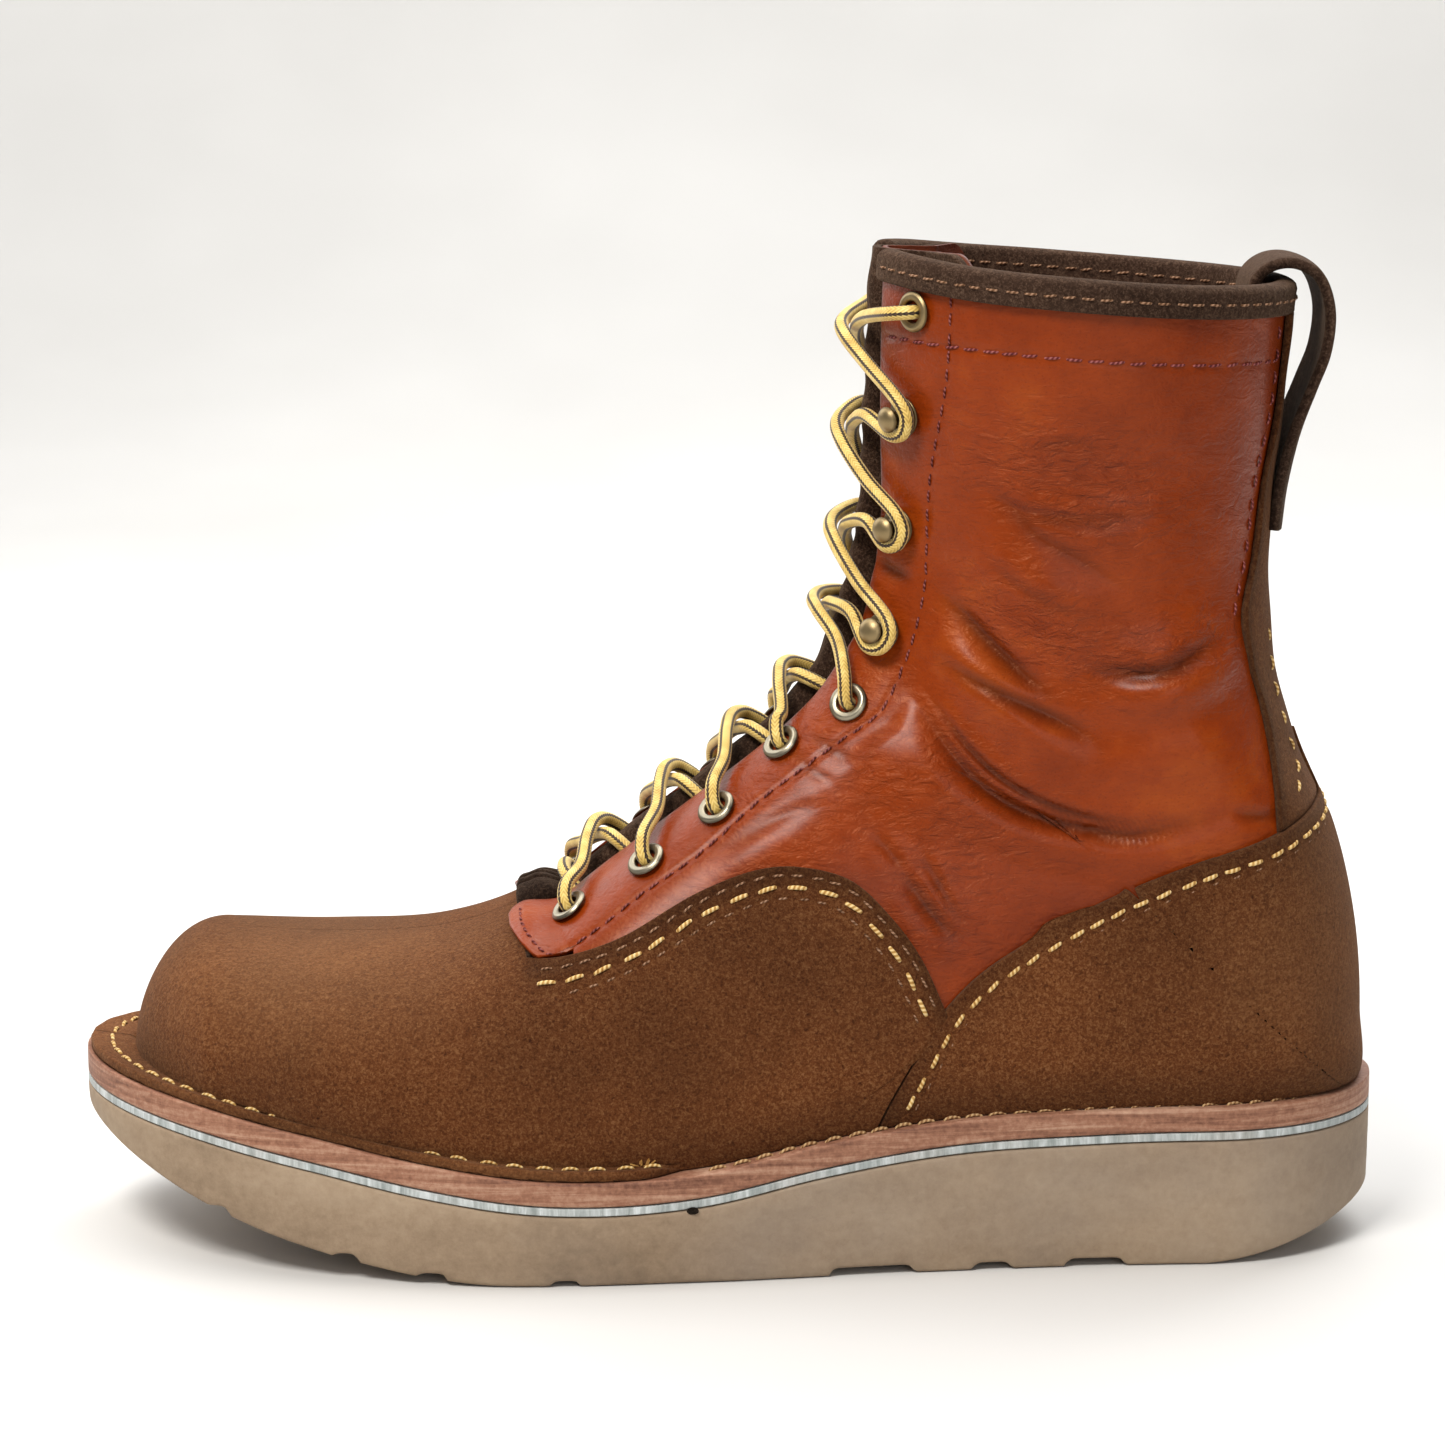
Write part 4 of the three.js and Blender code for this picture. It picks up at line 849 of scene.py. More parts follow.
# ---------------------------------------------------------------- floor
SWEEP_START = 1.1  # metres behind the boot
SWEEP_RADIUS = 0.9
sweep_turn = np.linspace(0, np.pi / 2, 25)
sweep_y = [-3, *(SWEEP_START + SWEEP_RADIUS * np.sin(sweep_turn)), SWEEP_START + SWEEP_RADIUS]
sweep_z = [0, *(SWEEP_RADIUS * (1 - np.cos(sweep_turn))), 4]
sweep_points = [(x, y, z) for y, z in zip(sweep_y, sweep_z) for x in (-6, 6)]
floor_mesh = bpy.data.meshes.new("floor")
sweep_faces = [(2 * i, 2 * i + 1, 2 * i + 3, 2 * i + 2) for i in range(len(sweep_y) - 1)]
floor_mesh.from_pydata(sweep_points, [], sweep_faces)
floor_mesh.shade_smooth()
floor = bpy.data.objects.new("floor", floor_mesh)
bpy.context.scene.collection.objects.link(floor)
floor.location.z = -0.0002
floor_look = Look("floor_paper", Roughness=0.85)
paper = [(0.3, (0.62, 0.61, 0.59)), (0.7, (0.68, 0.67, 0.65))]
floor_look.use("Base Color", floor_look.ramp(floor_look.noise(3, 3), paper))
floor_look.bumps((floor_look.noise(500, 3), 0.1, 0.1))
floor_mesh.materials.append(floor_look.material)


# ---------------------------------------------------------------- sole layers
RECESSES = [
    [-122, -117, 1.2], [-92, -86, 1.4], [-72, -65, 1.3], [-41, -34, 1.2], [24, 44, 1.8], [58, 67, 1.6],
    [80, 94, 1.8],
]


def tread_with_recesses(x):
    level = tread_height(x)
    for front, back, depth in RECESSES:
        middle = (front + back) / 2
        floor_level = tread_height(middle) + depth
        share = rounded((x - front) / 2.5) * rounded((back - x) / 2.5)
        level = np.maximum(level, tread_height(x) + (floor_level - tread_height(x)) * share)
    return level


def plate(half_at, low, high, start=-SOLE_END, end=SOLE_END, edge=0.5, undercut=0, waves=0):
    """Points and faces of a plate that follows the sole, with its edges rounded."""
    x = start + (end - start) * (1 - np.cos(np.linspace(0, np.pi, 480))) / 2
    half = np.maximum(half_at(x), 0.6)[:, None]
    bottom, top = low(x)[:, None], high(x)[:, None]
    turn = np.linspace(0, np.pi / 2, 5)
    up = np.linspace(0, 1, 12)[1:-1]
    edge = np.minimum(edge, (half - 0.1) * 0.8)
    rise = [bottom + edge * (1 - np.cos(turn)), bottom + edge + (top - bottom - 2 * edge) * up,
            top - edge * (1 - np.sin(turn))]
    inset = [edge * (1 - np.sin(turn)), 0 * edge * up, edge * (1 - np.cos(turn))]
    z = np.concatenate(rise, axis=1)
    inset = np.concatenate(inset, axis=1) + undercut * (1 - (z - bottom) / (top - bottom)) ** 1.5
    if waves:
        inset = inset + waves * np.sin(z * 0.9 + 3 * np.sin(x[:, None] / 23)) * np.sin(x[:, None] / 11)
    wall = np.maximum(half - inset, 0.05)
    middle = sole_middle(x)[:, None]
    flat = np.linspace(1, -1, 26)[1:-1]
    y = np.concatenate([middle + wall, middle + wall[:, -1:] * flat, middle - wall[:, ::-1],
                        middle - wall[:, :1] * flat, middle + wall[:, :1]], axis=1)
    z = np.concatenate([z, top + 0 * flat, z[:, ::-1], bottom + 0 * flat, z[:, :1]], axis=1)
    grid = np.stack([np.broadcast_to(x[:, None], y.shape), y, z], axis=-1)
    ends = [np.broadcast_to(grid[i].mean(axis=0), grid[i].shape)[None] for i in (0, -1)]
    grid = np.concatenate([ends[0], grid, ends[1]])
    return grid.reshape(-1, 3), grid_faces(*grid.shape[:2])


def bumper_bottom(x):
    return sole_top(x) - MIDSOLE - GAP - BUMPER


add_mesh("crepe_wedge", *plate(sole_half, tread_with_recesses, lambda x: bumper_bottom(x) - GAP, edge=0.9,
                               undercut=1.6, waves=0.12),
         CREPE, slot="crepe", replaces=["outsole_crepe_wedge"])
add_mesh("bumper_layer", *plate(lambda x: sole_half(x) - 0.1, bumper_bottom,
                                lambda x: bumper_bottom(x) + BUMPER, edge=0.25),
         BUMPER_LOOK, slot="bumper_rubber", replaces=["rubber_bumper_layer"])
add_mesh("midsole", *plate(sole_half, lambda x: sole_top(x) - MIDSOLE, sole_top, edge=0.7),
         MIDSOLE_LOOK, slot="midsole_leather", replaces=["midsole_leather"])

INSOLE_FRONT = LAST_TOE + 8
INSOLE_BACK = LAST_HEEL - 7
INSOLE_INSET = 5.4  # from the feather line
FILLER = 1.8
INSOLE = 2.4


def insole_end(run):
    return rounded(run / 14)


def insole_half(x):
    return (feather_half(x) - INSOLE_INSET) * insole_end(x - INSOLE_FRONT) * insole_end(INSOLE_BACK - x)


def insole_low(x):
    return sole_top(x) + FILLER + 2 * GAP


add_mesh("insole_board", *plate(insole_half, insole_low, lambda x: insole_low(x) + INSOLE, INSOLE_FRONT,
                                INSOLE_BACK, edge=0.8),
         INSOLE_LOOK, slot="insole_leather", replaces=["insole"])

# A small awl hole in the outer side of the wedge.
AWL_X, AWL_Z = -7.9, 18
hole = turned([[0, 0.1], [1.25, 0.12], [1.3, 0.3], [0.9, 0.32], [0.6, 0.2], [0, 0.18]], 24)
hole_at = np.array([AWL_X, sole_middle(AWL_X) - sole_half(AWL_X), AWL_Z])
hole_points = hole[0] @ seat_frame(np.array([0.02, -1.0, 0.0])) * [1.1, 1, 0.7] + hole_at
HOLE_SHADOW = roughout("hole_shadow", (0.004, 0.003, 0.002), (0.01, 0.007, 0.005), (0.03, 0.02, 0.015),
                       (0.02, 0.015, 0.01))
add_mesh("awl_hole", hole_points, hole[1], HOLE_SHADOW, slot="crepe")


# ---------------------------------------------------------------- vamp, its edge turned out over the midsole
THROAT = -48.5
WALL_FOOT = 4  # height above the feather line where the turned-out edge starts to curve
FLANGE_END = (-14, -9)  # the turned-out edge dies away between these
vamp_row_main = beside(VAMP_EDGE, -4.6)
vamp_row_fine = beside(VAMP_EDGE, -2.0)
vamp_row_dark = beside(VAMP_EDGE, -7.0)
counter_row_main = beside(COUNTER_EDGE, 3.9)
counter_row_dark = beside(COUNTER_EDGE, 5.7)

counter_line = spline(COUNTER_EDGE, 10) + [-GAP, GAP]
vamp_top = spline(VAMP_EDGE, 10)
past_counter, _ = side_view_distance(counter_line, vamp_top[:, 0], vamp_top[:, 1])
meeting = int(np.argmax(past_counter * past_counter[0] < 0))
corner = vamp_top[meeting]
below_corner = counter_line[(counter_line[:, 1] < corner[1] - 0.5)]
throat_z = np.linspace(float(section(5.93).front_z) + 1, VAMP_EDGE[0][1], 24)
throat_x = np.interp(throat_z, [throat_z[-1], throat_z[0]], [VAMP_EDGE[0][0], THROAT])
throat_path = np.stack(locate(throat_x, throat_z), axis=1)
throat_path[0, 1] = 0
edge_path = np.stack(locate(*vamp_top[:meeting].T), axis=1)
butt_path = down_to_feather(np.concatenate([[corner], below_corner]))
throat_t = throat_path[0, 0]
foot_t = butt_path[-1, 0]

# The upper boundary and the feather line under it, matched span by span.
SPANS = [
    [np.array([[0.11, 0], [throat_t, 0]]), 0.0003, 5.3, 150],
    [throat_path, 5.3, 5.95, 36],
    [edge_path, 5.95, 8.1, 150],
    [np.concatenate([edge_path[-1:], butt_path]), 8.1, foot_t, 40],
]
upper_line, feather_line = [], []
for span, start_t, end_t, count in SPANS:
    shares = np.linspace(0, 1, count, endpoint=span is SPANS[-1][0])
    upper_line.append(even(span, shares))
    feather_line.append(even([[start_t, 1], [end_t, 1]], shares))
upper_line = np.concatenate(upper_line)
feather_line = np.concatenate(feather_line)
open_columns = np.arange(len(upper_line)) >= SPANS[0][3]

t_foot = feather_line[:, 0]
per_v = np.linalg.norm(last_point(t_foot, 1.0) - last_point(t_foot, 0.98), axis=1) / 0.02
raised_t = np.maximum(t_foot, 0.11)
raised_v = np.clip(1 - WALL_FOOT / np.maximum(per_v, 1e-6), 0, 1) * smoothstep(0.02, 0.35, t_foot)
close_in = smoothstep(foot_t - 0.25, foot_t, t_foot)
raised_v = raised_v + (1 - raised_v) * close_in
raised_line = np.stack([raised_t, raised_v], axis=1)
feather_x = last_point(t_foot, 1.0)[:, 0]
flange_share = smoothstep(FLANGE_END[1], FLANGE_END[0], feather_x)


def stitch_pull(x, z):
    return (grooves([vamp_row_main], x, z, 0.35, 0.9) + grooves([vamp_row_fine], x, z, 0.16, 0.5)
            + grooves([vamp_row_dark], x, z, 0.3, 0.6))


def sole_edge_under(points, share=0.98):
    """The point of the sole's outline that belongs to a feather line point, on the same side."""
    along = (points[:, 0] - LAST_TOE) / (LAST_HEEL - LAST_TOE)
    x = -SOLE_END + SOLE_LENGTH * along
    side = np.where(points[:, 1] >= sole_middle(points[:, 0]), 1, -1)
    return np.stack([x * 0.994, sole_middle(x) + side * sole_half(x) * share], axis=1)


def vamp_side(side):
    shares = spaced(120, 60, (False, True))
    grid = ruled(raised_line, upper_line, shares)
    t, v = grid[..., 0], grid[..., 1] * side
    base = last_point(t, v)
    drop = edge_drop(base, [(0, True)]) * open_columns
    pull = stitch_pull(base[..., 0], base[..., 2]) * smoothstep(-50, -44, base[..., 0])
    waves = np.sin(base[..., 0] / 9 + 2) * np.sin(base[..., 1] / 8)
    swell = 0.25 * waves * smoothstep(-20, -60, base[..., 0])
    outer = on_last(t, v, GAP + OVERLAY - drop + pull + swell)
    inner = on_last(t, v, np.full(t.shape, GAP))

    feather = last_point(feather_line[:, 0], feather_line[:, 1] * side)
    edge = sole_edge_under(feather)
    if side * (edge[0, 1] - feather[0, 1]) < 0:
        edge[0, 1] = feather[0, 1]
    edge[0] = [edge[0, 0], sole_middle(-SOLE_END)]
    feather[0, 1] = sole_middle(LAST_TOE)
    out = unit(edge - feather[:, :2])
    reach = np.linalg.norm(edge - feather[:, :2], axis=1)

    def flat(distance, lift):
        plan = feather[:, :2] + out * distance[:, None]
        return np.concatenate([plan, (sole_top(plan[:, 0]) + lift)[:, None]], axis=1)

    thick = GAP + OVERLAY
    wavy = 0.12 * np.sin(np.arange(len(reach)) / 2.4) * (np.arange(len(reach)) > 3)
    edge_rows = [(0.3, GAP), (0, GAP + 0.5), (0, thick - 0.7), (0.25, thick - 0.2), (0.7, thick)]
    flange = [flat(reach - inset + wavy, lift) for inset, lift in edge_rows]
    start = np.minimum(thick + 2.6, 0.6 * reach)
    for share in np.linspace(0, 1, 12)[1:]:
        distance = reach - 0.7 + (start - reach + 0.7) * share
        dip = 0.3 * np.exp(-(((distance - 0.62 * reach) / 0.9) ** 2))
        flange.append(flat(distance, thick) - dip[:, None] * [0, 0, 1])
    under = [flat(np.maximum(reach - inset, 0.2), GAP) for inset, _ in edge_rows]
    under += [flat(reach + (GAP - reach) * share, GAP) for share in np.linspace(0, 1, 12)[1:]]
    bend_from, bend_at, bend_to = flange[-1], flat(np.full(len(reach), thick + 0.2), thick + 0.3), outer[0]
    flat_end = under[-1]
    for share in np.linspace(0, 1, 10)[1:-1]:
        flange.append((1 - share) ** 2 * bend_from + 2 * share * (1 - share) * bend_at + share**2 * bend_to)
        under.append(flat_end + (inner[0] - flat_end) * share)
    flange, under = np.stack(flange), np.stack(under)

    climb = np.linspace(0, 1, len(flange) + 1)[:-1]
    foot = ruled(feather_line, raised_line, climb)
    plain = [on_last(foot[..., 0], foot[..., 1] * side, np.full(foot.shape[:2], offset))
             for offset in (thick, GAP)]
    for face in plain:
        face[..., 2] = np.maximum(face[..., 2], sole_top(face[..., 0]) + GAP)
    share = flange_share[None, :, None]
    outer = np.concatenate([share * flange + (1 - share) * plain[0], outer])
    inner = np.concatenate([share * under + (1 - share) * plain[1], inner])
    return sheet(outer, inner)


vamp_points, vamp_faces, _ = welded(*joined(vamp_side(1), vamp_side(-1)))
x, y, z = vamp_points.T
toe_ridge = np.exp(-(((x + 100) / 34) ** 2 + ((z - 68) / 16) ** 2)) * 0.5
welt_dust = smoothstep(6, 0, z - sole_top(x)) * 0.35
edge_distance, _ = side_view_distance(spline(VAMP_EDGE, 8), x, z)
near_edge = np.exp(-((edge_distance / 3.5) ** 2)) * smoothstep(-52, -44, x)
vamp_dust = 0.08 + toe_ridge + welt_dust * smoothstep(-10, -40, x)
vamp_shade = 0.62 * near_edge + 0.45 * smoothstep(16, 2, z - sole_top(x)) * smoothstep(-60, 10, x)
add_mesh("vamp_leather", vamp_points, vamp_faces, VAMP_LOOK, slot="brown_roughout", replaces=["vamp"],
         marks={"dust": vamp_dust, "shade": np.clip(vamp_shade, 0, 1)})


# ---------------------------------------------------------------- counter cover
counter_top = down_to_feather(spline(COUNTER_EDGE, 10)[10:])
back_t, _ = locate(*np.array([150.5, 110.5]))
counter_top_inner = counter_top[counter_top[:, 1] < 0.995]
counter_top = np.concatenate([[[float(back_t), 1.0]], counter_top_inner, counter_top[-1:]])[::-1]
COUNTER_COLUMNS = 190
counter_shares = spaced(COUNTER_COLUMNS, 170)
counter_high = even(counter_top, counter_shares)
counter_low = even([[counter_top[0, 0], 1], [CLOSED_FROM - 0.0005, 1]], counter_shares)
grid = ruled(counter_low, counter_high, spaced(110, 70, (False, True)))
for _ in range(60):  # keeps neighbouring lines of the grid from crossing
    grid[1:-1, 1:-1] = (grid[1:-1, :-2] + 2 * grid[1:-1, 1:-1] + grid[1:-1, 2:]) / 4
grid = np.concatenate([grid * [1, -1], grid[:, -2::-1]], axis=1)
base = last_point(grid[..., 0], grid[..., 1])
drop = edge_drop(base, [(0, True)], 0.5)
pull = grooves([counter_row_main], base[..., 0], base[..., 2], 0.35, 0.9)
pull += grooves([counter_row_dark], base[..., 0], base[..., 2], 0.25, 0.6)
swell = 0.5 * hills([[95, 62, 40, 18, 5, 1.0]], base[..., 0], base[..., 2])
outer = on_last(grid[..., 0], grid[..., 1], GAP + OVERLAY - drop + pull + swell)
inner = on_last(grid[..., 0], grid[..., 1], np.full(grid.shape[:2], GAP))
for face in (outer, inner):
    face[..., 2] = np.maximum(face[..., 2], sole_top(face[..., 0]) + GAP)
counter_points, counter_faces = sheet(outer, inner)
x, y, z = counter_points.T
edge_distance, _ = side_view_distance(spline(COUNTER_EDGE, 8), x, z)
counter_dust = 0.05 + 0.3 * smoothstep(100, 150, x) + 0.12 * hills([[110, 70, 40, 16, 5, 1.0]], x, z)
counter_shade = 0.5 * smoothstep(14, 2, z - sole_top(x)) + 0.42 * np.exp(-((edge_distance / 3.2) ** 2))
add_mesh("counter", counter_points, counter_faces, VAMP_LOOK, slot="brown_roughout",
         replaces=["counter_cover"],
         marks={"dust": counter_dust, "shade": np.clip(counter_shade, 0, 1)})


# ---------------------------------------------------------------- quarters and the stays inside their facings
SIDES = (("lateral", -1), ("medial", 1))  # the outer and inner side of the foot, with the sign of y
QUARTER_FRONT = 5.97
HIDDEN_FRONT = 6.5  # under the vamp the quarter starts further back
TAB_RAISE = 4.6  # the tip of each facing lies on top of the vamp
tab_t, tab_v = locate(*np.array(TAB_OUTLINE, float).T)


def top_t(v, drop=0.0):
    """Section at which the last reaches the shaft's top, less a drop."""
    v = np.asarray(v, float)
    low, high = np.full(v.shape, TOP - 3.0), np.full(v.shape, TOP + 1.5)
    for _ in range(30):
        t = (low + high) / 2
        point = last_point(t, v)
        under = point[..., 2] < shaft_top(point[..., 0]) - drop
        low, high = np.where(under, t, low), np.where(under, high, t)
    return low


def facing_v(t):
    return across(t, FACING)


def tab_raise(t):
    """How far a quarter is lifted off the last by the vamp under its tab."""
    return TAB_RAISE * (1 - smoothstep(6.0, 6.44, t))


def fold_fade(t, z):
    """1 where the shaft's folds run free, falling to 0 at its front, lower and top edges."""
    return smoothstep(6.2, 7.2, t) * smoothstep(0, 9, z - 62) * smoothstep(TOP + 1, TOP - 1.2, t)


def quarter_grid(rows, columns, front=None, drop=0.0, back_share=1.0):
    """(t, v) over one quarter: rows up the boot, columns from the facing's edge to the back."""
    share = spaced(columns, 150, (True, False)) * back_share
    first_v = float(facing_v(QUARTER_FRONT))
    if front is None:
        tab_share = (tab_v - first_v) / (1 - first_v)
        stops = np.concatenate([[0, 0.012, 0.04], tab_share, [tab_share[-1] + 0.004, 1]])
        starts = np.concatenate([[QUARTER_FRONT, 5.88, 5.84], tab_t, [HIDDEN_FRONT, HIDDEN_FRONT]])
        start = np.interp(share, stops, starts)
    else:
        start = np.full(share.shape, front)
    end = np.full(share.shape, float(TOP))
    for _ in range(4):
        v = facing_v(end)
        end = top_t(v + (1 - v) * share, drop)
    t = start + (end - start) * spaced(rows, 230, (front is None, True))[:, None]
    v = facing_v(t)
    return t, v + (1 - v) * share


def quarter(side_name, side):
    t, v = quarter_grid(330, 170)
    base = last_point(t, v * side)
    x, z = base[..., 0], base[..., 2]
    fold, depth = folded(x, z, side)
    raised = tab_raise(t)
    fade = fold_fade(t, z)
    facing_calm = smoothstep(2, 7, side_view_distance(FACING_STITCHES, x, z)[0] * SHAFT_SIDE)
    fold = fold * fade * (0.35 + 0.65 * facing_calm)
    pull = grooves([FACING_STITCHES, TOP_BAND_STITCHES], x, z, 0.28, 0.7)
    drop = edge_drop(base, [(0, False), (1, False)], 0.6)
    outer = on_last(t, v * side, raised + fold + pull - drop)
    inner = on_last(t, v * side, raised + np.minimum(fold * 0.6, 0.2) - LEATHER)
    points, faces = sheet(outer, inner)
    wrinkle = np.clip(hills(WRINKLED, x, z) + 0.2, 0, 1)
    shade = np.clip(depth * 0.8 * fade, 0, 1)
    edge = np.maximum(np.exp(-((np.abs(base[..., 1]) - FACING) / 1.2) ** 2) * 0.5, 0)
    both = [np.concatenate([mark.ravel(), mark.ravel()]) for mark in (np.maximum(shade, edge), wrinkle)]
    add_mesh("quarter_leather_" + side_name, points, faces, REDWOOD, slot="redwood_leather",
             replaces=["quarter_" + side_name], marks={"shade": both[0], "wrinkle": both[1]})


# Which side of the facing's stitches the shaft is on: +1 or -1.
SHAFT_SIDE = np.sign(side_view_distance(FACING_STITCHES, np.array([100.0]), np.array([170.0]))[0][0])
for side_name, side in SIDES:
    quarter(side_name, side)

for side_name, side in SIDES:
    t, v = quarter_grid(150, 26, front=6.25, drop=BINDING_HEIGHT + 3 * GAP, back_share=0.2)
    outer = on_last(t, v * side, np.full(t.shape, -LEATHER - GAP))
    inner = on_last(t, v * side, np.full(t.shape, -LEATHER - GAP - STAY))
    add_mesh("stay_leather_" + side_name, *sheet(outer, inner), FLESH_SIDE, slot="stiffener",
             replaces=["facing_stay_" + side_name])


# ---------------------------------------------------------------- backstay
BACKSTAY = 1.5
edge_t, edge_v = path_on_last(BACKSTAY_EDGE, 12).T
order = np.argsort(edge_t)


def backstay_v(t):
    return np.interp(t, edge_t[order], edge_v[order])


half_share = spaced(30, 17, (True, False))
share = np.concatenate([half_share, 2 - half_share[-2::-1]])
top_limit = top_t(np.full(share.shape, 0.97), BINDING_HEIGHT + GAP)
stay_t = CLOSED_FROM + 2.15 + (top_limit - CLOSED_FROM - 2.15) * np.linspace(0, 1, 260)[:, None]
edge_at = backstay_v(stay_t)
v = np.where(share <= 1, -(edge_at + (1 - edge_at) * share), edge_at + (1 - edge_at) * (2 - share))
base = last_point(stay_t + 0 * v, v)
fold, depth = folded(base[..., 0], base[..., 2], -1)
drop = edge_drop(base, [(1, False), (1, True)], 0.5)
lumps = 0.3 * np.sin(base[..., 2] / 5.1) * np.sin(base[..., 2] / 13)
under_counter = smoothstep(1.0, -1.5, base[..., 2] - np.interp(base[..., 0], *np.array(COUNTER_EDGE[::-1]).T))
followed = 0.5 * fold * (np.abs(v) < 0.9)
outer = on_last(stay_t + 0 * v, v, GAP + BACKSTAY - drop + lumps + followed - 2.2 * under_counter)
inner = on_last(stay_t + 0 * v, v, np.full(v.shape, GAP) - 2.2 * under_counter)
points, faces = sheet(outer, inner)
stay_shade = np.clip(np.exp(-((np.abs(v) - edge_at) / 0.02) ** 2) * 0.6 + 0 * base[..., 0], 0, 1)
add_mesh("backstay_leather", points, faces, VAMP_LOOK, slot="brown_roughout", replaces=["backstay"],
         marks={"shade": np.concatenate([stay_shade.ravel()] * 2), "dust": np.full(len(points), 0.22)})


# ---------------------------------------------------------------- binding round the shaft's top
def binding_outline():
    """The binding's section as (offset from the last, height above the shaft's top), closed."""
    out, inn, roll = GAP + BINDING, -LEATHER - GAP - BINDING, 0.75
    mid = (out + inn) / 2
    half = (out - inn) / 2
    turn = np.linspace(0, np.pi, 13)
    crown = [[mid + half * np.cos(a), -0.2 + 2.1 * np.sin(a) ** 0.8] for a in turn]
    leg = [[inn, -h] for h in (1.5, 3, 4.4, 5.1)]
    leg += [[inn + 0.25, -BINDING_HEIGHT], [inn + roll, -BINDING_HEIGHT]]
    slot_in = [[-LEATHER - GAP, -5], [-LEATHER - GAP, GAP], [GAP, GAP], [GAP, -5]]
    outside = [[out - roll, -BINDING_HEIGHT], [out - 0.25, -BINDING_HEIGHT], [out, -5.1]]
    outside += [[out, -h] for h in (4.4, 3, 1.5)]
    return np.array(crown + leg + slot_in + outside)


outline = binding_outline()
first_v = float(facing_v(TOP))
turns = np.concatenate([-np.linspace(first_v, 1, 190), np.linspace(1, first_v, 190)[1:]])
top_line = top_t(turns)
rate = (top_t(turns, -1.0) - top_line)[:, None]  # change of t for one millimetre up
offset, height = outline.T
end_run = run_length(last_point(top_line, turns))
end_gap = np.minimum(end_run, end_run[-1] - end_run)
squeeze = 0.35 + 0.65 * rounded(end_gap / 2.2)
t = top_line[:, None] + rate * (-1.5 + (height + 1.5) * squeeze[:, None])
middle_offset = offset.mean()
around = turns[:, None] + 0 * t
ring = on_last(t, around, middle_offset + (offset - middle_offset) * (0.75 + 0.25 * squeeze[:, None]))
ring += rng.normal(0, 0.05, ring.shape[:2])[..., None] * last_normal(t, around)
ring = capped(np.concatenate([ring, ring[:, :1]], axis=1))
add_mesh("binding", ring.reshape(-1, 3), grid_faces(*ring.shape[:2]), BINDING_LOOK, slot="dark_roughout",
         replaces=["top_binding"], marks={"dust": np.full(ring.shape[0] * ring.shape[1], 0.3)})


# ---------------------------------------------------------------- pull loop
STRAP_ROUTE = [[121.2, 196], [121.7, 212], [122, 224], [123.4, 230.6], [127.4, 233.8], [132.8, 234.3],
               [138.2, 231.4], [141.2, 224], [140.8, 213.5], [138.2, 204.7], [134.6, 193.8], [131.8, 181],
               [130.6, 171]]
strap_line = spline(STRAP_ROUTE, 14)
strap_along = unit(np.gradient(strap_line, axis=0))
strap_out = np.stack([-strap_along[:, 1], strap_along[:, 0]], axis=1)
corner_turn = np.linspace(0, np.pi / 2, 5)
edge_round = 0.8
corner_y = STRAP_WIDTH / 2 - edge_round + edge_round * np.sin(corner_turn)
corner_n = STRAP / 2 - edge_round + edge_round * np.cos(corner_turn)
quarter_ring = np.stack([corner_y, corner_n], axis=1)
flat_y = np.linspace(-1, 1, 12)[1:-1] * (STRAP_WIDTH / 2 - edge_round)
ring = np.concatenate([
    np.stack([flat_y, np.full(flat_y.shape, STRAP / 2)], axis=1), quarter_ring,
    quarter_ring[::-1] * [1, -1], np.stack([flat_y[::-1], np.full(flat_y.shape, -STRAP / 2)], axis=1),
    quarter_ring * [-1, -1], quarter_ring[::-1] * [-1, 1],
])
ring = np.concatenate([ring, ring[:1]])
strap_share = np.linspace(0, 1, len(strap_line))[:, None]
curl = 0.5 * np.sin(np.pi * strap_share) + 2.1 * smoothstep(0.6, 0.95, strap_share)
curl = curl * (2 * ring[None, :, 0] / STRAP_WIDTH) ** 2
across_strap = ring[None, :, 1] - curl
strap = np.stack([
    strap_line[:, :1] + strap_out[:, :1] * across_strap, ring[None, :, 0] + 0 * strap_line[:, :1],
    strap_line[:, 1:] + strap_out[:, 1:] * across_strap,
], axis=-1)
strap = capped(strap)
inner_face = np.broadcast_to((ring[None, :, 1] < 0) * 0.35, strap.shape[:2])
add_mesh("strap", strap.reshape(-1, 3), grid_faces(*strap.shape[:2]), BINDING_LOOK, slot="dark_roughout",
         replaces=["pull_loop"], marks={"dust": 0.42 - inner_face.ravel(), "shade": inner_face.ravel() * 1.5})


# ---------------------------------------------------------------- packing under the tip of each tab, near-black as painted shade in the gap under it
for side_name, side in SIDES:
    pack_t = np.linspace(QUARTER_FRONT + 0.02, QUARTER_FRONT + 0.2, 12)[:, None]
    pack_rows = [(across(float(t), FACING - 1), across(float(t), 34)) for t in pack_t[:, 0]]
    pack_v = np.array([np.linspace(near, far, 50) for near, far in pack_rows])
    pack_t = pack_t + 0 * pack_v
    under_tab = tab_raise(pack_t) - LEATHER - GAP
    pack_edge = edge_drop(last_point(pack_t, pack_v), [(1, False)], 0.5)
    add_mesh("tab_packing_" + side_name, *sheet(on_last(pack_t, pack_v * side, under_tab - pack_edge),
                                                on_last(pack_t, pack_v * side, np.full(pack_v.shape, -0.6))),
             BINDING_LOOK, slot="dark_roughout", marks={"dust": np.full(2 * pack_v.size, 0.15)})


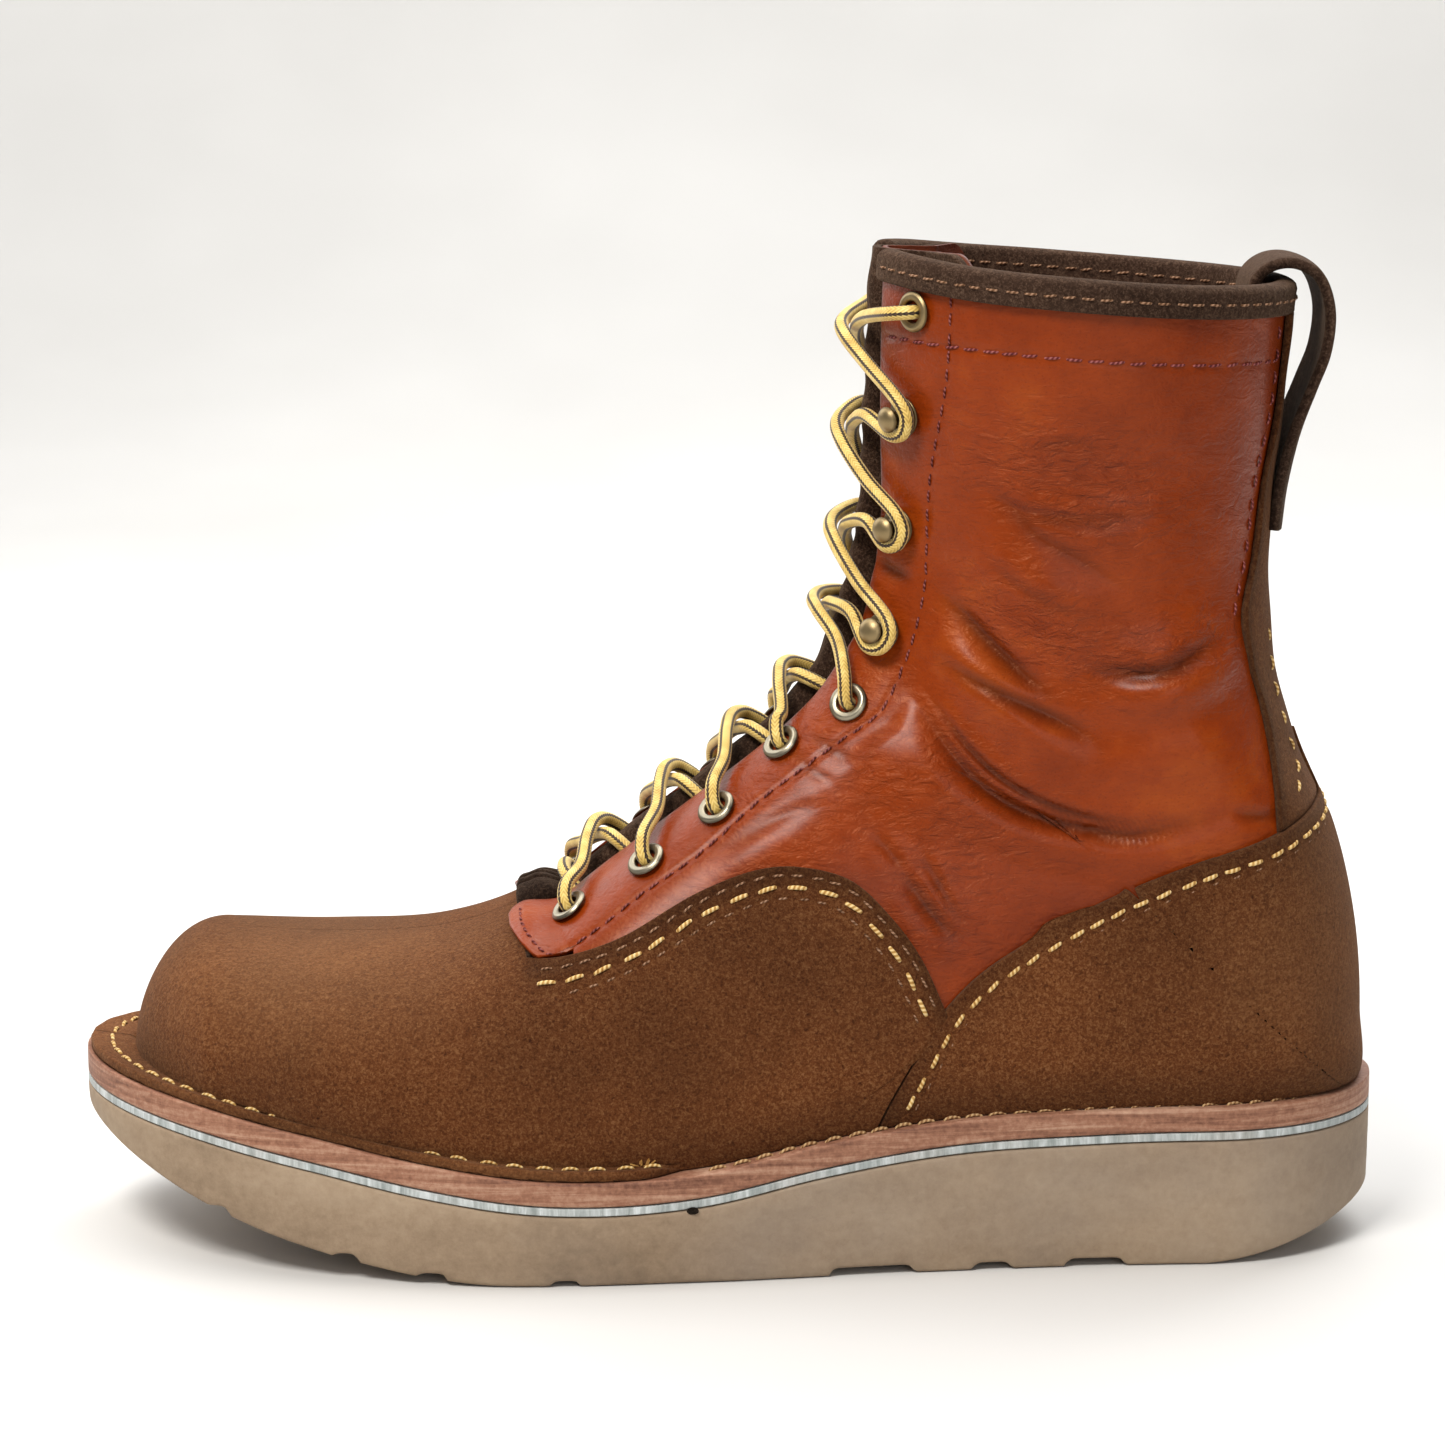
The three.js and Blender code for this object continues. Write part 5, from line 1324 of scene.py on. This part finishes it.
# ---------------------------------------------------------------- gathered end of the tongue
GATHER_FRONT, GATHER_BACK = 5.92, 6.42  # sections of the last, from the tabs' tips to the first lace
GATHER_HALF = 10.6
GATHER_PLEATS = (-3.9, 0.4, 4.3)
PLEAT_DEPTH, PLEAT_WIDTH = 1.5, 0.85
gather_rise = profile([[GATHER_FRONT, 7.1], [6.1, 6.6], [6.33, 4.4], [GATHER_BACK, 1.3]])
gather_floor = profile([[GATHER_FRONT, 3.1], [5.97, 2.8], [6.04, 1.2], [GATHER_BACK, 0.3]])
gather_t = np.linspace(GATHER_FRONT, GATHER_BACK, 70)[:, None]
gather_y = GATHER_HALF * np.linspace(-1, 1, 90)[None, :]
gather_v = np.sign(gather_y) * across(gather_t, np.abs(gather_y))
gather_t = gather_t + 0 * gather_v
pleat_depth = sum(PLEAT_DEPTH * np.exp(-(((gather_y - at) / PLEAT_WIDTH) ** 2)) for at in GATHER_PLEATS)
crown = np.sqrt(np.clip(1 - (np.abs(gather_y) / GATHER_HALF) ** 3, 0, 1))
nose = rounded((gather_t - GATHER_FRONT) / 0.13)
gather_low = gather_floor(gather_t)
gather_high = gather_low + 0.3 + (gather_rise(gather_t) - gather_low) * crown * nose
gather_high -= np.minimum(pleat_depth * nose, 0.6 * (gather_high - gather_low))
gather_top = on_last(gather_t, gather_v, gather_high)
gather_points, gather_faces = sheet(gather_top, on_last(gather_t, gather_v, gather_low))
add_mesh("tongue_gathered_end", gather_points, gather_faces, BINDING_LOOK, slot="dark_roughout",
         marks={"dust": np.zeros(len(gather_points)), "shade": np.full(len(gather_points), 0.7)})


# ---------------------------------------------------------------- tongue and its lining
TONGUE = 2
TONGUE_LINING_THICKNESS = 1.2
TONGUE_FOOT = TOE_STATIONS + 2.75
TONGUE_TOP = TOP - 0.06
TONGUE_HALF = 33  # half its width at the top
tongue_depth = profile([[0, 1], [4, 0.2], [7, -3.4], [9.5, -7.2], [12, -9.9], [15, -10.5], [60, -10.5]])
tongue_wing = profile([[TONGUE_FOOT, 24], [TONGUE_FOOT + 3, 27], [TOP - 6, 29], [TOP, TONGUE_HALF]])
TONGUE_CORNER = 9


def tongue_faces(sink, thickness):
    share = spaced(46, 33, (False, True))
    share = np.concatenate([-share[::-1], share[1:]])
    distance = share * float(tongue_wing(TOP))
    near = np.clip((np.abs(distance) - (TONGUE_HALF - TONGUE_CORNER)) / TONGUE_CORNER, 0, 1)
    end = TONGUE_TOP - TONGUE_CORNER / 14 * (1 - np.sqrt(1 - near**2))
    t = TONGUE_FOOT + (end - TONGUE_FOOT) * spaced(260, 230, (True, True))[:, None]
    wing = tongue_wing(t)
    y = share * wing
    plain = np.abs(y) / np.minimum(1, wing / 30)
    buried = np.clip((TOE_STATIONS + 3.6 - t) / 0.8, 0, 1) * 5
    depth = np.minimum(tongue_depth(plain), 1 - buried)
    v = np.sign(y) * across(t, np.abs(y))
    base = last_point(t, v)
    drop = edge_drop(base, [(0, True), (0, False), (1, False), (1, True)], 0.5)
    rucks = 0.35 * np.sin(t * 5.3 + 0.8 * np.sin(y / 4)) * np.exp(-(y / 9) ** 2) * smoothstep(6.2, 7.5, t)
    outer = on_last(t, v, depth - sink - drop + rucks)
    inner = on_last(t, v, depth - sink - thickness + rucks)
    return outer, inner


for piece_name, sink, thickness, look, slot_name, node_name in [
    ("tongue_leather", 0, TONGUE, BINDING_LOOK, "dark_roughout", "tongue"),
    ("tongue_inner_leather", TONGUE + GAP, TONGUE_LINING_THICKNESS, TONGUE_LINING, "lining_leather",
     "tongue_lining"),
]:
    points, faces = sheet(*tongue_faces(sink, thickness))
    add_mesh(piece_name, points, faces, look, body="tongue", slot=slot_name, replaces=[node_name],
             marks={"dust": np.full(len(points), 0.1), "wrinkle": np.full(len(points), 0.25)})


# ---------------------------------------------------------------- eyelets and speed hooks
LOWER_EYELETS = [[-36.8, 82.8], [-18.6, 94.6], [-2.1, 106.7], [13.2, 121.3], [28.9, 131.5]]
HOOKS = [[37.2, 148.1], [40.7, 172.9], [41.9, 199.5]]
TOP_EYELET = [43.6, 224.1]
ROWS = [*LOWER_EYELETS, *HOOKS, TOP_EYELET]
TOP_ROW = len(ROWS) - 1
EYELET_ROWS = (*range(len(LOWER_EYELETS)), TOP_ROW)
seat_t, seat_v = locate(*np.array(ROWS, float).T)
HOLE = 2.6
FLANGE = 4.75
HOOK_NECK = 5.4


def seat(row, side):
    t, v = seat_t[row], side * seat_v[row]
    return on_last(t, v, SEAT_LIFT), last_normal(t, v)


def arc(centre, radius, start, end, count=8):
    angle = np.radians(np.linspace(start, end, count))
    return [[centre[0] + radius * math.cos(a), centre[1] + radius * math.sin(a)] for a in angle]


eyelet_outline = [
    [HOLE, -6.3], [HOLE, -0.2], *arc([HOLE + 0.55, 0.5], 0.55, 180, 100),
    *arc([3.7, 0.25], 0.85, 95, 40),
    *arc([FLANGE - 0.35, 0.35], 0.35, 50, -60), [FLANGE - 0.4, 0.05], [HOLE + 0.5, 0.05], [HOLE + 0.5, -5.3],
    *arc([HOLE + 0.75, -5.75], 0.4, 90, -90), [HOLE, -6.3],
]
hook_outline = [
    [0, 0.15], [4.2, 0.15], *arc([4.15, 0.5], 0.4, -80, 70), [3.0, 1.15], [2.1, 1.35],
    *arc([2.35, 2.1], 0.6, 230, 180),
    [1.75, 3], [1.75, HOOK_NECK - 0.6], *arc([2.3, HOOK_NECK - 0.55], 0.55, 180, 95),
    *arc([2.75, HOOK_NECK + 0.3], 0.32, -80, 60),
    [2.45, HOOK_NECK + 1.05], [1.7, HOOK_NECK + 1.5], [0.8, HOOK_NECK + 1.68], [0, HOOK_NECK + 1.7],
]
for side_name, side in SIDES:
    for row in range(len(ROWS)):
        is_eyelet = row in EYELET_ROWS
        outline = np.array(eyelet_outline if is_eyelet else hook_outline)
        points, faces = turned(outline)
        place, normal = seat(row, side)
        rubbed = np.clip(0.35 + 0.55 * (points[:, 2] > (0.7 if is_eyelet else HOOK_NECK + 0.6)), 0, 1)
        kind = "eyelet" if is_eyelet else "speed_hook"
        is_brass = not is_eyelet or row == TOP_ROW
        add_mesh(f"{kind}_{side_name}_{row + 1}_metal", points @ seat_frame(normal) + place, faces,
                 BRASS if is_brass else NICKEL, slot="antique_brass" if is_brass else "nickel",
                 replaces=[f"{kind}_{side_name}_{row + 1}"], marks={"rubbed": rubbed})


# ---------------------------------------------------------------- lace
UNDER = -7.6
ROLL_CLEAR = -5.8
THROUGH_EYELET = (ROLL_CLEAR, -1.8, 1.5)
BEND = 2.4
HOOK_WRAP = 4.1
HOOK_HEIGHT = 3.3
OVER_TONGUE = 3.2


def half_at(row):
    return abs(float(last_point(seat_t[row], seat_v[row])[1]))


def crossing(row, side, upper):
    """Points of a strand from one row to the next one up, on the other side."""
    is_outside = row + 1 >= len(LOWER_EYELETS)  # up to a hook or the top eyelet it stays in front
    bias = 0.65 if is_outside else 0.85
    near, far = half_at(row), half_at(row + 1)
    if is_outside:
        heights = [[BEND - near, 4.4, 4.4], [-13, 3.4, 3.6], [-5, 3.2, 6], [0, 3.2, 6.9], [5, 3.2, 6],
                   [13, 3.4, 3.6], [far - BEND, 4.4, 4.4]]
    else:
        heights = [[BEND - near, 4.2, 4.2], [-14, 3.1, 3.3], [-6, 3.2, 5.9], [0, 3.2, 6.9], [4.6, 2.6, 5.4],
                   [8, -0.2, 1.4], [10.4, -3.9, -3.4], [13.2, -7, -7], [far - BEND, UNDER, UNDER]]
    first = 1 if row not in EYELET_ROWS else 0
    last = len(heights) - (1 if row + 1 not in EYELET_ROWS else 0)
    points = []
    for distance, low, high in heights[first:last]:
        q = distance / (near if distance < 0 else far)
        t = seat_t[row] + (seat_t[row + 1] - seat_t[row]) * ((q + 1) / 2) ** bias
        v = -np.sign(distance) * side * across(t, abs(distance))
        points.append(on_last(t, v, high if upper else low))
    return points


def around_hook(row, side):
    place, normal = seat(row, side)
    t, v = seat_t[row], seat_v[row]
    outwards = unit(last_point(t, side * (v + 0.05)) - last_point(t, side * (v - 0.05)))
    up = unit(np.cross(outwards, normal))
    up = up * np.sign(up[2])
    return [place + normal * HOOK_HEIGHT + HOOK_WRAP * (outwards * math.cos(a) + up * math.sin(a))
            for a in np.radians([-78, -26, 26, 78])]


def through_hole(row, side, heights):
    place, normal = seat(row, side)
    return [place + normal * height for height in heights]


def strand(side):
    points = through_hole(0, side, THROUGH_EYELET)
    for row in range(TOP_ROW):
        points += crossing(row, side, side < 0)
        side = -side
        if row + 1 not in EYELET_ROWS:
            points += around_hook(row + 1, side)
        elif row + 1 == TOP_ROW:
            points += through_hole(TOP_ROW, side, THROUGH_EYELET[::-1])
        else:
            points += through_hole(row + 1, side, THROUGH_EYELET)
    return points


bar_heights = [[4.6, 2.6], [8, -0.2], [10.4, -3.9], [13.2, -7], [half_at(0) - BEND, UNDER]]


def bar_side(side):
    return [on_last(seat_t[0], side * across(seat_t[0], y), height) for y, height in bar_heights]


bar = [*bar_side(-1)[::-1], on_last(seat_t[0], 0.0, OVER_TONGUE), *bar_side(1)]
lace_line = spline([*strand(-1)[::-1], *bar, *strand(1)], 14)
lace_line = at_lengths(lace_line, np.arange(0, run_length(lace_line)[-1], 0.7))
points, faces, uv = tube(lace_line, LACE, 18)
add_mesh("laced_part", points, faces, BRAID, slot="lace", replaces=["lace"], uv=uv)

TAIL_DEPTH = -6.2
TAIL_SIDE_VIEW = [[52, 219], [61, 209], [67, 195], [70, 180], [72, 165], [73.5, 150], [74.5, 135], [75, 120],
                  [75, 106], [74.5, 92]]
for side_name, side in SIDES:
    place, normal = seat(TOP_ROW, side)
    start = [place + normal * (ROLL_CLEAR - GAP), place + normal * (ROLL_CLEAR - GAP - 0.5)]
    behind_eyelet = ((0.012, -7.4), (0.035, -7.9))
    start += [on_last(seat_t[TOP_ROW], side * (seat_v[TOP_ROW] + dv), height) for dv, height in behind_eyelet]
    tail_t, tail_v = locate(*np.array(TAIL_SIDE_VIEW, float).T)
    tail = spline([*start, *on_last(tail_t, side * tail_v, np.full(len(tail_t), TAIL_DEPTH))], 14)
    tail = at_lengths(tail, np.arange(0, run_length(tail)[-1], 0.8))
    points, faces, uv = tube(tail, LACE, 18)
    lace_tail = add_mesh("tail_" + side_name, points, faces, BRAID, slot="lace",
                         replaces=["lace_tail_" + side_name],
                         uv=uv)
    direction = unit(tail[-1] - tail[-3])
    tip = [[0, 0], [1.45, 0.1], *arc([1.3, 0.5], 0.4, -50, 0), [1.66, 6], [1.62, 7], [1.7, 8], [1.62, 15],
           [1.7, 16],
           *arc([1.3, AGLET_LENGTH - 0.5], 0.4, 0, 80), [0, AGLET_LENGTH]]
    points, faces = turned(tip, 32)
    aglet_points = points @ seat_frame(direction) + tail[-1] + GAP * direction
    aglet = add_mesh("aglet_metal_" + side_name, aglet_points,
                     faces, BRASS, slot="antique_brass", replaces=["aglet_" + side_name],
                     marks={"rubbed": np.full(len(points), 0.4)})
    in_metres(tail[0])
    run_length(tail)[-1] / 1000
    in_metres(tail).tolist()


# ---------------------------------------------------------------- stitches
def stitches(name, line, normals, look, slot_name, pitch, length, width, lift, sink=0.35, body="boot",
             skew=5):
    """A row of thread: one short tube for each stitch, sunk into the leather at both ends."""
    run = run_length(line)
    count = max(int(run[-1] / pitch), 1)
    centres = (np.arange(count) + 0.5) * run[-1] / count
    s = np.array([-1, -0.93, -0.75, -0.4, 0, 0.4, 0.75, 0.93, 1])
    sides = 9
    angle = np.linspace(0, 2 * np.pi, sides)
    jitter = rng.normal(0, 0.04 * pitch, count)
    at = centres[:, None] + jitter[:, None] + s * length / 2
    path = at_lengths(line, at.ravel()).reshape(count, len(s), 3)
    normal = np.stack([np.interp(at.ravel(), run, c) for c in np.asarray(normals).T], axis=1)
    normal = unit(normal).reshape(count, len(s), 3)
    along = unit(np.gradient(path, axis=1))
    sideways = np.cross(normal, along)
    tilt = np.radians(rng.normal(skew, 3, count))[:, None, None]
    path = path + sideways * (s[None, :, None] * np.tan(tilt) * length / 2)
    rise = -sink + (lift + sink) * (1 - s**2) ** 0.55
    path = path + normal * rise[None, :, None]
    fat = width / 2 * (0.55 + 0.45 * (1 - s**2) ** 0.4)
    grid = (path[:, :, None] + fat[None, :, None, None] * (
        np.cos(angle)[None, None, :, None] * sideways[:, :, None]
        + 0.8 * np.sin(angle)[None, None, :, None] * normal[:, :, None]))
    caps = [np.repeat(path[:, i, None, None], sides, axis=2) for i in (0, -1)]
    grid = np.concatenate([caps[0], grid, caps[1]], axis=1)
    block = grid.shape[1] * sides
    faces = np.concatenate([grid_faces(grid.shape[1], sides, i * block, True) for i in range(count)])
    reach = np.concatenate([s[:1], s, s[-1:]]) * length / 2
    along_row = reach[None, :, None] + centres[:, None, None]
    uv = np.stack(np.broadcast_arrays(angle[None, None] / 6, along_row), axis=-1)
    return add_mesh(name, grid.reshape(-1, 3), faces, look, slot=slot_name, uv=uv.reshape(-1, 2), body=body)


def row_on_last(path, side, offset):
    t, v = path[:, 0], path[:, 1] * side
    return on_last(t, v, np.broadcast_to(offset, t.shape)), last_normal(t, v)


def side_row(name, line, side, offset, *thread_size, **more):
    """A stitch row given in side view, on a surface at an offset from the last."""
    t, v = locate(line[:, 0], line[:, 1])
    level = offset(line[:, 0], line[:, 1], t) if callable(offset) else offset
    stitches(name, *row_on_last(np.stack([t, v], axis=1), side, level), *thread_size, **more)


def within(line, low_x, high_x, above=4.0):
    keep = (line[:, 0] > low_x) & (line[:, 0] < high_x) & (line[:, 1] > feather_top(line[:, 0]) + above)
    return line[keep]


def quarter_level(side):
    """The quarter's surface as an offset from the last, for the stitch rows on it."""
    def level(x, z, t):
        fold, _ = folded(x, z, side)
        return tab_raise(t) + fold * fold_fade(t, z) * 0.35 - 0.2
    return level


overlay = GAP + OVERLAY


def before_counter(line):
    distance, _ = side_view_distance(counter_line, line[:, 0], line[:, 1])
    return line[distance * past_counter[0] > 0.8]


for side_name, side in SIDES:
    tag = "_" + side_name
    rows = [
        ["vamp_stitches", before_counter(within(vamp_row_main, -50, 60)), overlay - 0.3, YELLOW_THREAD,
         7.0, 4.6, 1.05, 0.5],
        ["vamp_edge_stitches", before_counter(within(vamp_row_fine, -44, 60)), overlay - 0.16, BROWN_THREAD,
         4.5, 3.0, 0.55, 0.25],
        ["vamp_inner_stitches", before_counter(within(vamp_row_dark, -38, 60)), overlay - 0.35, BROWN_THREAD,
         4.4, 2.6, 0.5, 0.18],
        ["counter_stitches", within(counter_row_main, 30, 143), overlay - 0.3, YELLOW_THREAD,
         5.5, 3.9, 1.0, 0.5],
        ["counter_inner_stitches", within(counter_row_dark, 34, 143), overlay - 0.3, BROWN_THREAD,
         5.5, 2.4, 0.45, 0.12],
    ]
    for name, line, level, look, pitch, length, width, lift in rows:
        side_row(name + tag, line, side, level, look, "lace", pitch, length, width, lift)
    side_row("facing_stitches" + tag, spline(FACING_STITCHES, 14), side, quarter_level(side), RED_THREAD,
             "redwood_leather", 4.3, 3.1, 0.6, 0.25)
    rear_edge = spline(BACKSTAY_EDGE, 12)
    rear_edge = rear_edge[rear_edge[:, 1] > 152] - [1.7, 0]
    side_row("rear_edge_stitches" + tag, rear_edge, side, quarter_level(side), MAUVE_THREAD,
             "redwood_leather", 5.0, 3.2, 0.7, 0.6, sink=0.12)
    side_row("tab_tip_stitches" + tag, spline(TAB_TIP_STITCHES, 14), side, quarter_level(side), RED_THREAD,
             "redwood_leather", 2.7, 2.1, 0.62, 0.45, sink=0.12)
    side_row("top_band_stitches" + tag, spline(TOP_BAND_STITCHES, 14), side, quarter_level(side),
             MAUVE_THREAD, "redwood_leather", 4.7, 3.9, 0.65, 0.3)
    side_row("backstay_stitches" + tag, spline(BACKSTAY_STITCHES, 12), side, GAP + BACKSTAY - 0.1,
             YELLOW_THREAD, "lace", 6.2, 3.6, 0.85, 0.45)

    feather_t = np.linspace(0.0003, 8, 900)
    feather = last_point(feather_t, np.full(900, float(side)))
    edge = sole_edge_under(feather)
    ahead = feather[:, 0] < FLANGE_END[0] + 3
    plan = feather[:, :2] + 0.62 * (edge - feather[:, :2])
    line = np.concatenate([plan, (sole_top(plan[:, 0]) + overlay - 0.25)[:, None]], axis=1)[ahead][3:]
    upward = np.tile([0.0, 0, 1], (len(line), 1))
    stitches("welt_stitches" + tag, line, upward, YELLOW_THREAD, "lace", 6.2, 4.2, 1.0, 0.45)

    x = SOLE_END * np.sin(np.linspace(math.asin(-5 / SOLE_END), np.pi / 2, 700))
    row_y = sole_middle(x) + side * np.maximum(sole_half(x) - 2.6, 0)
    line = np.stack([x * 0.985, row_y, sole_top(x)], axis=1)
    upward = np.tile([0.0, 0, 1], (len(line), 1))
    stitches("midsole_stitches" + tag, line, upward, SOLE_THREAD, "lace", 5.6, 4.4, 1.1, 0.5)

run_v = np.linspace(first_v + 0.02, 0.995, 260)
run_v = np.concatenate([-run_v, np.linspace(0.995, first_v + 0.02, 260)])
BINDING_ROWS = [
    ("binding_outer_stitches", GAP + BINDING, 2.2),
    ("binding_inner_stitches", -LEATHER - GAP - BINDING, 2.4),
]
for name, level, height in BINDING_ROWS:
    t = top_t(run_v, height)
    normals = last_normal(t, run_v) * (1 if level > 0 else -1)
    row = on_last(t, run_v, np.full(t.shape, level))
    stitches(name, row, normals, BROWN_THREAD, "lace", 4.3, 3.1, 0.6, 0.3)

# Loose thread ends where the turned-out edge dies away.
tuft_at = sole_edge_under(last_point(np.array([7.05]), np.array([-1.0])), 0.9)[0]
tuft_points = []
for end in range(11):
    lean = rng.normal(0, 1, 2)
    tuft_points.append(tube(spline([
        [tuft_at[0], tuft_at[1], sole_top(tuft_at[0]) + 0.6],
        [tuft_at[0] + 0.7 * lean[0], tuft_at[1] - 0.3, sole_top(tuft_at[0]) + 2.4],
        [tuft_at[0] + 1.5 * lean[0], tuft_at[1] - 0.4 + 0.6 * lean[1],
         sole_top(tuft_at[0]) + 3.6 + 0.8 * lean[1]],
    ], 6), 0.42, 7)[:2])
add_mesh("thread_ends", *joined(*tuft_points), YELLOW_THREAD, slot="lace")


# ---------------------------------------------------------------- CAD nodes shown as they are
for node_name, look in [("cork_filler", CORK), ("steel_shank", SHANK_STEEL), ("toe_puff", FLESH_SIDE),
                        ("vamp_lining", LINING), ("heel_stiffener", LINING)]:
    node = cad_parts[node_name]
    node.data.materials.clear()
    node.data.materials.append(look)
